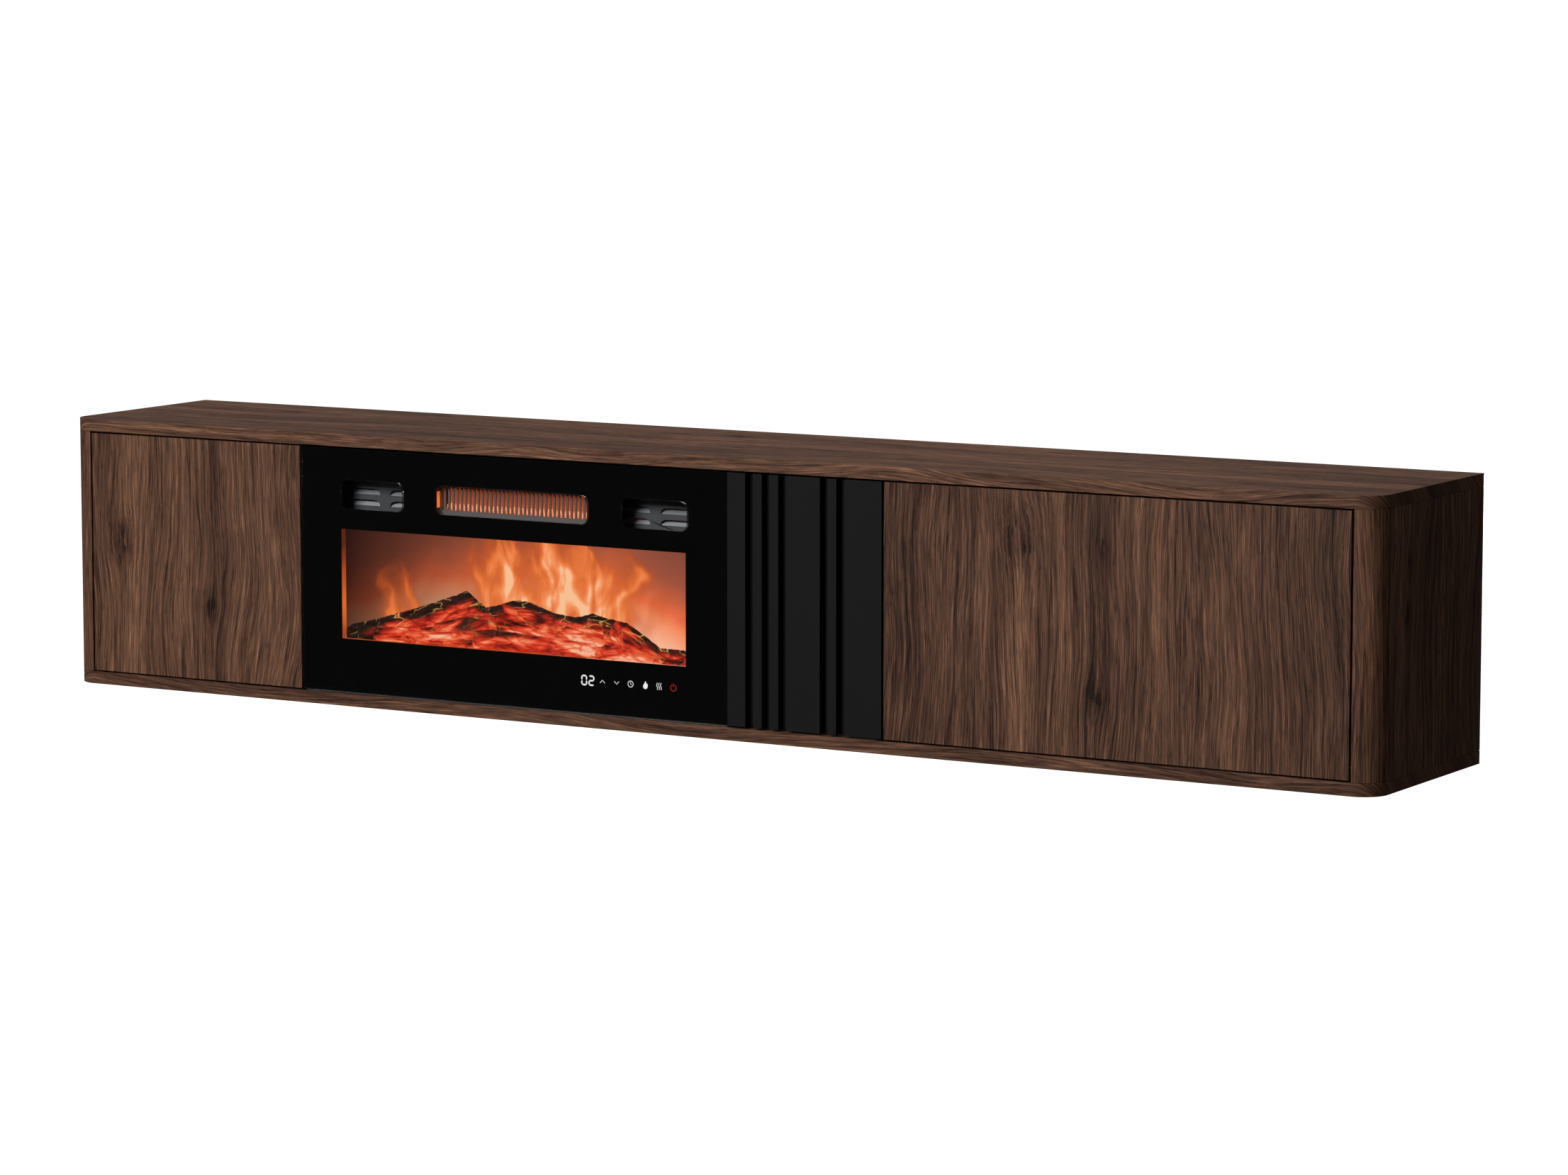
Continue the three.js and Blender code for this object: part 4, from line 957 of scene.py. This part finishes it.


# %% [markdown]
# The finish stretches its noises along each log, turns the heat into light and lays the gold over
# it, so the gold lines shine as painted light too. Without light the resin would be dark brown bark.

# %% Ember finish
def ember_finish():
    material, tree, shader = new_material("glowing_log_resin", Roughness=0.7, Specular_IOR_Level=0.1)
    uv = add(tree, "ShaderNodeUVMap", uv_map="grain")
    place = place_in_frame(tree)
    below = add(tree, "ShaderNodeAttribute", attribute_name="below_top").outputs["Fac"]
    long = add(tree, "ShaderNodeMapping", {"Vector": uv, "Scale": (22, 120, 1)})
    wisps = cloud(tree, long, 1.0, 5.0, Distortion=0.8)
    blotch_at = add(tree, "ShaderNodeMapping", {
        "Vector": uv, "Scale": (13, 48, 1), "Location": (3.1, 1.7, 0)})
    blotches = cloud(tree, blotch_at, 1.0, 2.0, Distortion=1.2)
    cracks_at = add(tree, "ShaderNodeMapping", {"Vector": uv, "Scale": (34, 120, 1)})
    bend = cloud(tree, cracks_at, 0.7, 3.0)
    shift = add(tree, "ShaderNodeVectorMath", {
        0: bend.outputs["Color"], 1: (2.2, 2.2, 0), 2: cracks_at}, operation="MULTIPLY_ADD")
    cells = add(tree, "ShaderNodeTexVoronoi", {"Vector": shift, "Scale": 1.0}, feature="DISTANCE_TO_EDGE")
    crack = spread(tree, cells, 0.0, 0.12, 1.0, 0.0)
    heat = ember_heat(tree, below, place, wisps, blotches, crack)
    ember = colour_stops(tree, heat, EMBER_STOPS)
    vein = gold_veins(tree, shift, place, below)
    # painted sheen: the gold lines are mixed into the glow and shine by emission
    glow = mixed(tree, vein, ember, linear("#e8b45a"))
    char = colour_stops(tree, wisps, [(0.3, "#0c0806"), (0.7, "#3a2418")])
    bump = add(tree, "ShaderNodeBump", {"Height": wisps, "Strength": 0.7, "Distance": 1.2 * MM})
    connect(shader, {
        "Base Color": char, "Emission Color": glow, "Emission Strength": 0.95, "Normal": bump})
    return material


ember_look = ember_finish()
log_relief = finished(log_bm, "log_relief", ROOT, ember_look, ["log_set"], smooth_angle=180)
print("log relief triangles", 2 * len(log_relief.data.polygons))

# %% [markdown]
# ## Light on the edges of the window
#
# The left return of the frame and the ledge under the logs catch the fire's light. Each is a thin
# glowing strip, painted light that stands in for that light, brightest low down.

# %% Lit strips
def box(bm, x, y, z):
    size = Vector((x[1] - x[0], y[1] - y[0], z[1] - z[0]))
    middle = Vector((x[0] + x[1], y[0] + y[1], z[0] + z[1])) / 2
    bmesh.ops.create_cube(bm, size=1.0, matrix=Matrix.Translation(middle) @ Matrix.Diagonal((*size, 1.0)))


# a strip that glows by emission: painted light for light that falls on a surface
def lit_strip(name, stops, low, high, strength):
    material, tree, shader = new_material(name, Base_Color=linear("#2a1208"), Roughness=0.4)
    place = place_in_frame(tree)
    z = add(tree, "ShaderNodeSeparateXYZ", {0: place}).outputs[2]
    level = spread(tree, z, low, high)
    level = weighted_sum(tree, level, [(cloud(tree, place, 45.0, 3.0), 0.25)])
    paint = colour_stops(tree, level, stops)
    connect(shader, {"Emission Color": paint, "Emission Strength": strength})
    return material


window_light = lit_strip(
    "fire_light_painted_strip",
    [(0.0, "#5a1c08"), (0.22, "#c85a24"), (0.42, "#e8702e"), (0.75, "#a8441e"), (1.1, "#5c2412")],
    WINDOW[2], WINDOW[3], 0.95)
strip_bm = bmesh.new()
left_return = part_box("frame_left")[1].x
box(strip_bm, (left_return + 0.03 * MM, left_return + 0.25 * MM), (FRONT + 6.0 * MM, FRONT + 16.6 * MM),
    (WINDOW[2] - MM, WINDOW[3] + MM))
box(strip_bm, (WINDOW[0], -0.15), (FRONT + 6.1 * MM, FRONT + 8.4 * MM), (91.4 * MM, 93.3 * MM))
finished(strip_bm, "window_lit_strips", ROOT, window_light)
print("left return at x", round(left_return, 4))

# %% [markdown]
# ## Heater glow
#
# Behind the grille bars a heating wire runs in a tight wave across the outlet, in two rows. A sine
# with a little noise gives the wave, and the wire glows a pale orange.

# %% Heater wire
OUTLET = CUTOUTS[1]
WIRE_RADIUS = 0.3 * MM
ROW_DEPTHS = (24 * MM, 28 * MM)
WAVE = {"pitch": 4.6 * MM, "low": 275.5 * MM, "high": 286.0 * MM, "steps": 8}


def wave_line(depth, phase):
    x, points = OUTLET[0] + 3 * MM, []
    while x < OUTLET[1] - 2 * MM:
        turn = (x - OUTLET[0]) / WAVE["pitch"] * math.tau + phase
        wobble = 0.25 * noise.noise(Vector((x * 90, depth * 900, phase)))
        z = WAVE["low"] + (WAVE["high"] - WAVE["low"]) * (0.5 + (0.42 + wobble) * math.sin(turn))
        points.append((x, FRONT + depth, z))
        x += WAVE["pitch"] / WAVE["steps"]
    return points


wire_glow = glowing("glowing_heater_wire", "#ff9464", 1.25)
waves = [wave_line(depth, phase) for depth, phase in zip(ROW_DEPTHS, (0.0, 1.9))]
finished(wire(waves, WIRE_RADIUS), "heater_wire", ROOT, wire_glow)
print("points in a wave", len(waves[0]))

# %% [markdown]
# The mica sheet behind the wire glows with painted light, the light that the wire throws on it, and
# it is brightest where the wire lies, at its foot. A lit strip stands for the light that the glow
# throws on the left wall of the rim.

# %% Mica sheet and lit rim
mica = lit_strip(
    "glowing_mica_sheet",
    [(0.0, "#d05a22"), (0.35, "#c44e18"), (0.7, "#9c380e"), (1.1, "#742608")], OUTLET[2], OUTLET[3], 1.15)
MICA_DEPTH, MICA_THICKNESS = 32 * MM, 0.6 * MM
mica_bm = bmesh.new()
box(mica_bm, (OUTLET[0] + MM, OUTLET[1] + 2 * MM),
    (FRONT + MICA_DEPTH, FRONT + MICA_DEPTH + MICA_THICKNESS),
    (OUTLET[2] - 2 * MM, OUTLET[3] + 2 * MM))
finished(mica_bm, "heater_mica", ROOT, mica)
rim_light = lit_strip(
    "fire_lit_rim", [(0.0, "#d8602a"), (0.6, "#f07a34"), (1.1, "#c85420")], OUTLET[2], OUTLET[3], 1.0)
rim_bm = bmesh.new()
box(rim_bm, (OUTLET[0] - 0.55 * MM, OUTLET[0] - 0.35 * MM), (FRONT + 6.2 * MM, FRONT + 12.9 * MM),
    (OUTLET[2] + 8 * MM, OUTLET[3] - 7 * MM))
finished(rim_bm, "grille_lit_rim", ROOT, rim_light)
print("mica behind the front by mm", MICA_DEPTH / MM)

# %% [markdown]
# ## Screws
#
# The rear cover is held by six screws and each wall hanger by two. A screw head is a low cone, and
# its recess is an inset of the cap that is pushed in.

# %% Screws
HEAD_SIDES = 24


def screw(bm, x, depth, z, radius, towards):
    turn = Matrix.Rotation(math.radians(-90 * towards), 4, "X")
    place = Matrix.Translation((x, FRONT + depth, z)) @ turn
    made = bmesh.ops.create_cone(
        bm, cap_ends=True, segments=HEAD_SIDES, radius1=radius, radius2=radius * 0.78,
        depth=radius * 0.5, matrix=place)
    faces = {face for vert in made["verts"] for face in vert.link_faces}
    bm.normal_update()
    caps = [face for face in faces if len(face.verts) == HEAD_SIDES]
    cap = max(caps, key=lambda face: face.calc_center_median().y * towards)
    bmesh.ops.inset_individual(bm, faces=[cap], thickness=radius * 0.38)
    bmesh.ops.translate(bm, verts=cap.verts, vec=(0, -towards * radius * 0.25, 0))


rear_bm = bmesh.new()
rear_low, rear_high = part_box("rear_cover")
REAR_SCREW_DEPTH = 150.8 * MM
for x in (rear_low.x + 8 * MM, rear_low.x / 2 + rear_high.x / 2, rear_high.x - 8 * MM):
    for z in (rear_low.z + 8 * MM, rear_high.z - 8 * MM):
        screw(rear_bm, x, REAR_SCREW_DEPTH, z, 3.6 * MM, 1)
finished(rear_bm, "rear_cover_screws", ROOT, steel_screw)

hanger_bm = bmesh.new()
for node in ("left_wall_hanger", "right_wall_hanger"):
    low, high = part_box(node)
    for z in (low.z + 9 * MM, low.z + 20 * MM):
        screw(hanger_bm, (low.x + high.x) / 2, low.y - FRONT - 0.9 * MM, z, 4.2 * MM, -1)
hanger_screws = finished(hanger_bm, "hanger_screws", ROOT, steel_screw)
print("faces on the hanger screws", len(hanger_screws.data.polygons))

# %% [markdown]
# Two soft buffers keep the left door from knocking on its partition, so they ride on the door. A
# dark strip closes the gap at the top of the slatted panel as painted shade, so no light comes
# through from the open back.

# %% Buffers and shade strip
buffer_bm = bmesh.new()
upright = Matrix.Rotation(math.radians(-90), 4, "X")
door_low, door_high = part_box("left_door")
for z in (door_low.z + 20 * MM, door_high.z - 40 * MM):
    place = Matrix.Translation((door_high.x - 6.5 * MM, FRONT + 18.2 * MM, z)) @ upright
    bmesh.ops.create_cone(
        buffer_bm, cap_ends=True, segments=28, radius1=4.2 * MM, radius2=3.0 * MM,
        depth=2.2 * MM, matrix=place)
bevelled(buffer_bm, 0.5 * MM, 3)
finished(buffer_bm, "left_door_buffers", "left_door", dark_plastic)

slat_low, slat_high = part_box("slat_panel")
# painted shade: a dark strip in the gap above the slatted panel
shade_strip_z = (slat_high.z - 9 * MM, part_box("top_panel")[0].z - 0.1 * MM)
shade_strip_bm = bmesh.new()
box(shade_strip_bm, (slat_low.x + MM, slat_high.x - MM), (slat_high.y + 0.1 * MM, slat_high.y + 4 * MM), shade_strip_z)
finished(shade_strip_bm, "slat_gap_shade_strip", ROOT, dark_plastic)
print("seal height mm", round((shade_strip_z[1] - shade_strip_z[0]) / MM, 1))

# %% [markdown]
# ## Floor
#
# The piece hangs on a wall, so the floor is some way below it. The floor glows a little, so that it
# stays pale out to the horizon. It is hidden from every ray but the camera's, because its light
# would fill the dark side and its image would fog the glass.

# %% Floor
FLOOR_DROP, FLOOR_RADIUS = 0.30, 400.0
floor_look, _, floor_shader = new_material("studio_floor", Base_Color=linear("#8c8c8a"), Roughness=0.9)
connect(floor_shader, {"Emission Color": linear("#ffffff"), "Emission Strength": 0.95})
floor_bm = bmesh.new()
bmesh.ops.create_circle(floor_bm, cap_ends=True, segments=64, radius=FLOOR_RADIUS)
bmesh.ops.translate(floor_bm, verts=floor_bm.verts, vec=(0, 0, -FLOOR_DROP))
floor_mesh = bpy.data.meshes.new("floor")
floor_bm.to_mesh(floor_mesh)
floor_bm.free()
floor_mesh.materials.append(floor_look)
floor = bpy.data.objects.new("floor", floor_mesh)
bpy.context.scene.collection.objects.link(floor)
floor.visible_diffuse = False
floor.visible_glossy = False
floor.visible_transmission = False
print("floor below the piece m", FLOOR_DROP)

# %% [markdown]
# ## Light
#
# A large soft light stands in front, to the left and above. The sky is bright only overhead and
# behind the left end, so the right side stays dark. A low light behind shows the back, and it is
# hidden from reflections, because it would glare on the top.

# %% Lights
def soft_light(name, place, aim, width, height, watts):
    data = bpy.data.lights.new(name, "AREA")
    data.shape = "RECTANGLE"
    data.size = width
    data.size_y = height
    data.energy = watts
    light = bpy.data.objects.new(name, data)
    light.location = place
    light.rotation_euler = (Vector(aim) - Vector(place)).to_track_quat("-Z", "Y").to_euler()
    bpy.context.scene.collection.objects.link(light)
    return light


MIDDLE = (Vector(CAD_BOX[0]) + Vector(CAD_BOX[1])) / 2
soft_light("key_light", (-1.6, -6.0, 3.2), MIDDLE, 3.2, 2.2, 470)

rear_light = soft_light("rear_light", (-1.5, 6.0, 0.4), MIDDLE, 3.2, 1.6, 420)
rear_light.visible_glossy = False

world = bpy.data.worlds.new("studio")
bpy.context.scene.world = world
world.use_nodes = True
sky = world.node_tree
sky.nodes.clear()
BEHIND_LEFT, SKY_LEAST = (-0.75, 0.66, 0), 0.03
way = add(sky, "ShaderNodeTexCoord").outputs["Generated"]
up = dot(sky, way, (0, 0, 1))
overhead = spread(sky, up, 0.55, 0.9, 0.0, 0.85)
behind = dot(sky, way, BEHIND_LEFT)
behind = spread(sky, behind, 0.4, 0.95, 0.0, 0.13)
shade = maths(sky, "ADD", overhead, behind)
shade = maths(sky, "ADD", shade, SKY_LEAST)
backdrop = add(sky, "ShaderNodeBackground", {"Color": linear("#ffffff"), "Strength": shade})
add(sky, "ShaderNodeOutputWorld", {"Surface": backdrop})
print("lights", len(bpy.data.lights))

# %% [markdown]
# ## Camera
#
# The camera stands to the right with a long lens, a little above the piece and tilted down to it.
# Colours go to the screen as they are, so a glow keeps the colour that its hex code names.

# %% Camera
LENS, SENSOR = 126.03, 36.0
AZIMUTH, ELEVATION = 30.316, 7.238
CAMERA_PLACE = (3.72692, FRONT - 6.10302, 1.10562)
camera_data = bpy.data.cameras.new("camera")
camera_data.sensor_width = SENSOR
camera_data.lens = LENS
camera_data.clip_end = 1000.0
camera = bpy.data.objects.new("camera", camera_data)
camera.location = CAMERA_PLACE
camera.rotation_euler = (math.radians(90 - ELEVATION), 0, math.radians(AZIMUTH))
bpy.context.scene.collection.objects.link(camera)
bpy.context.scene.camera = camera
bpy.context.scene.view_settings.view_transform = "Standard"
print("camera to middle", round((camera.location - MIDDLE).length, 3))
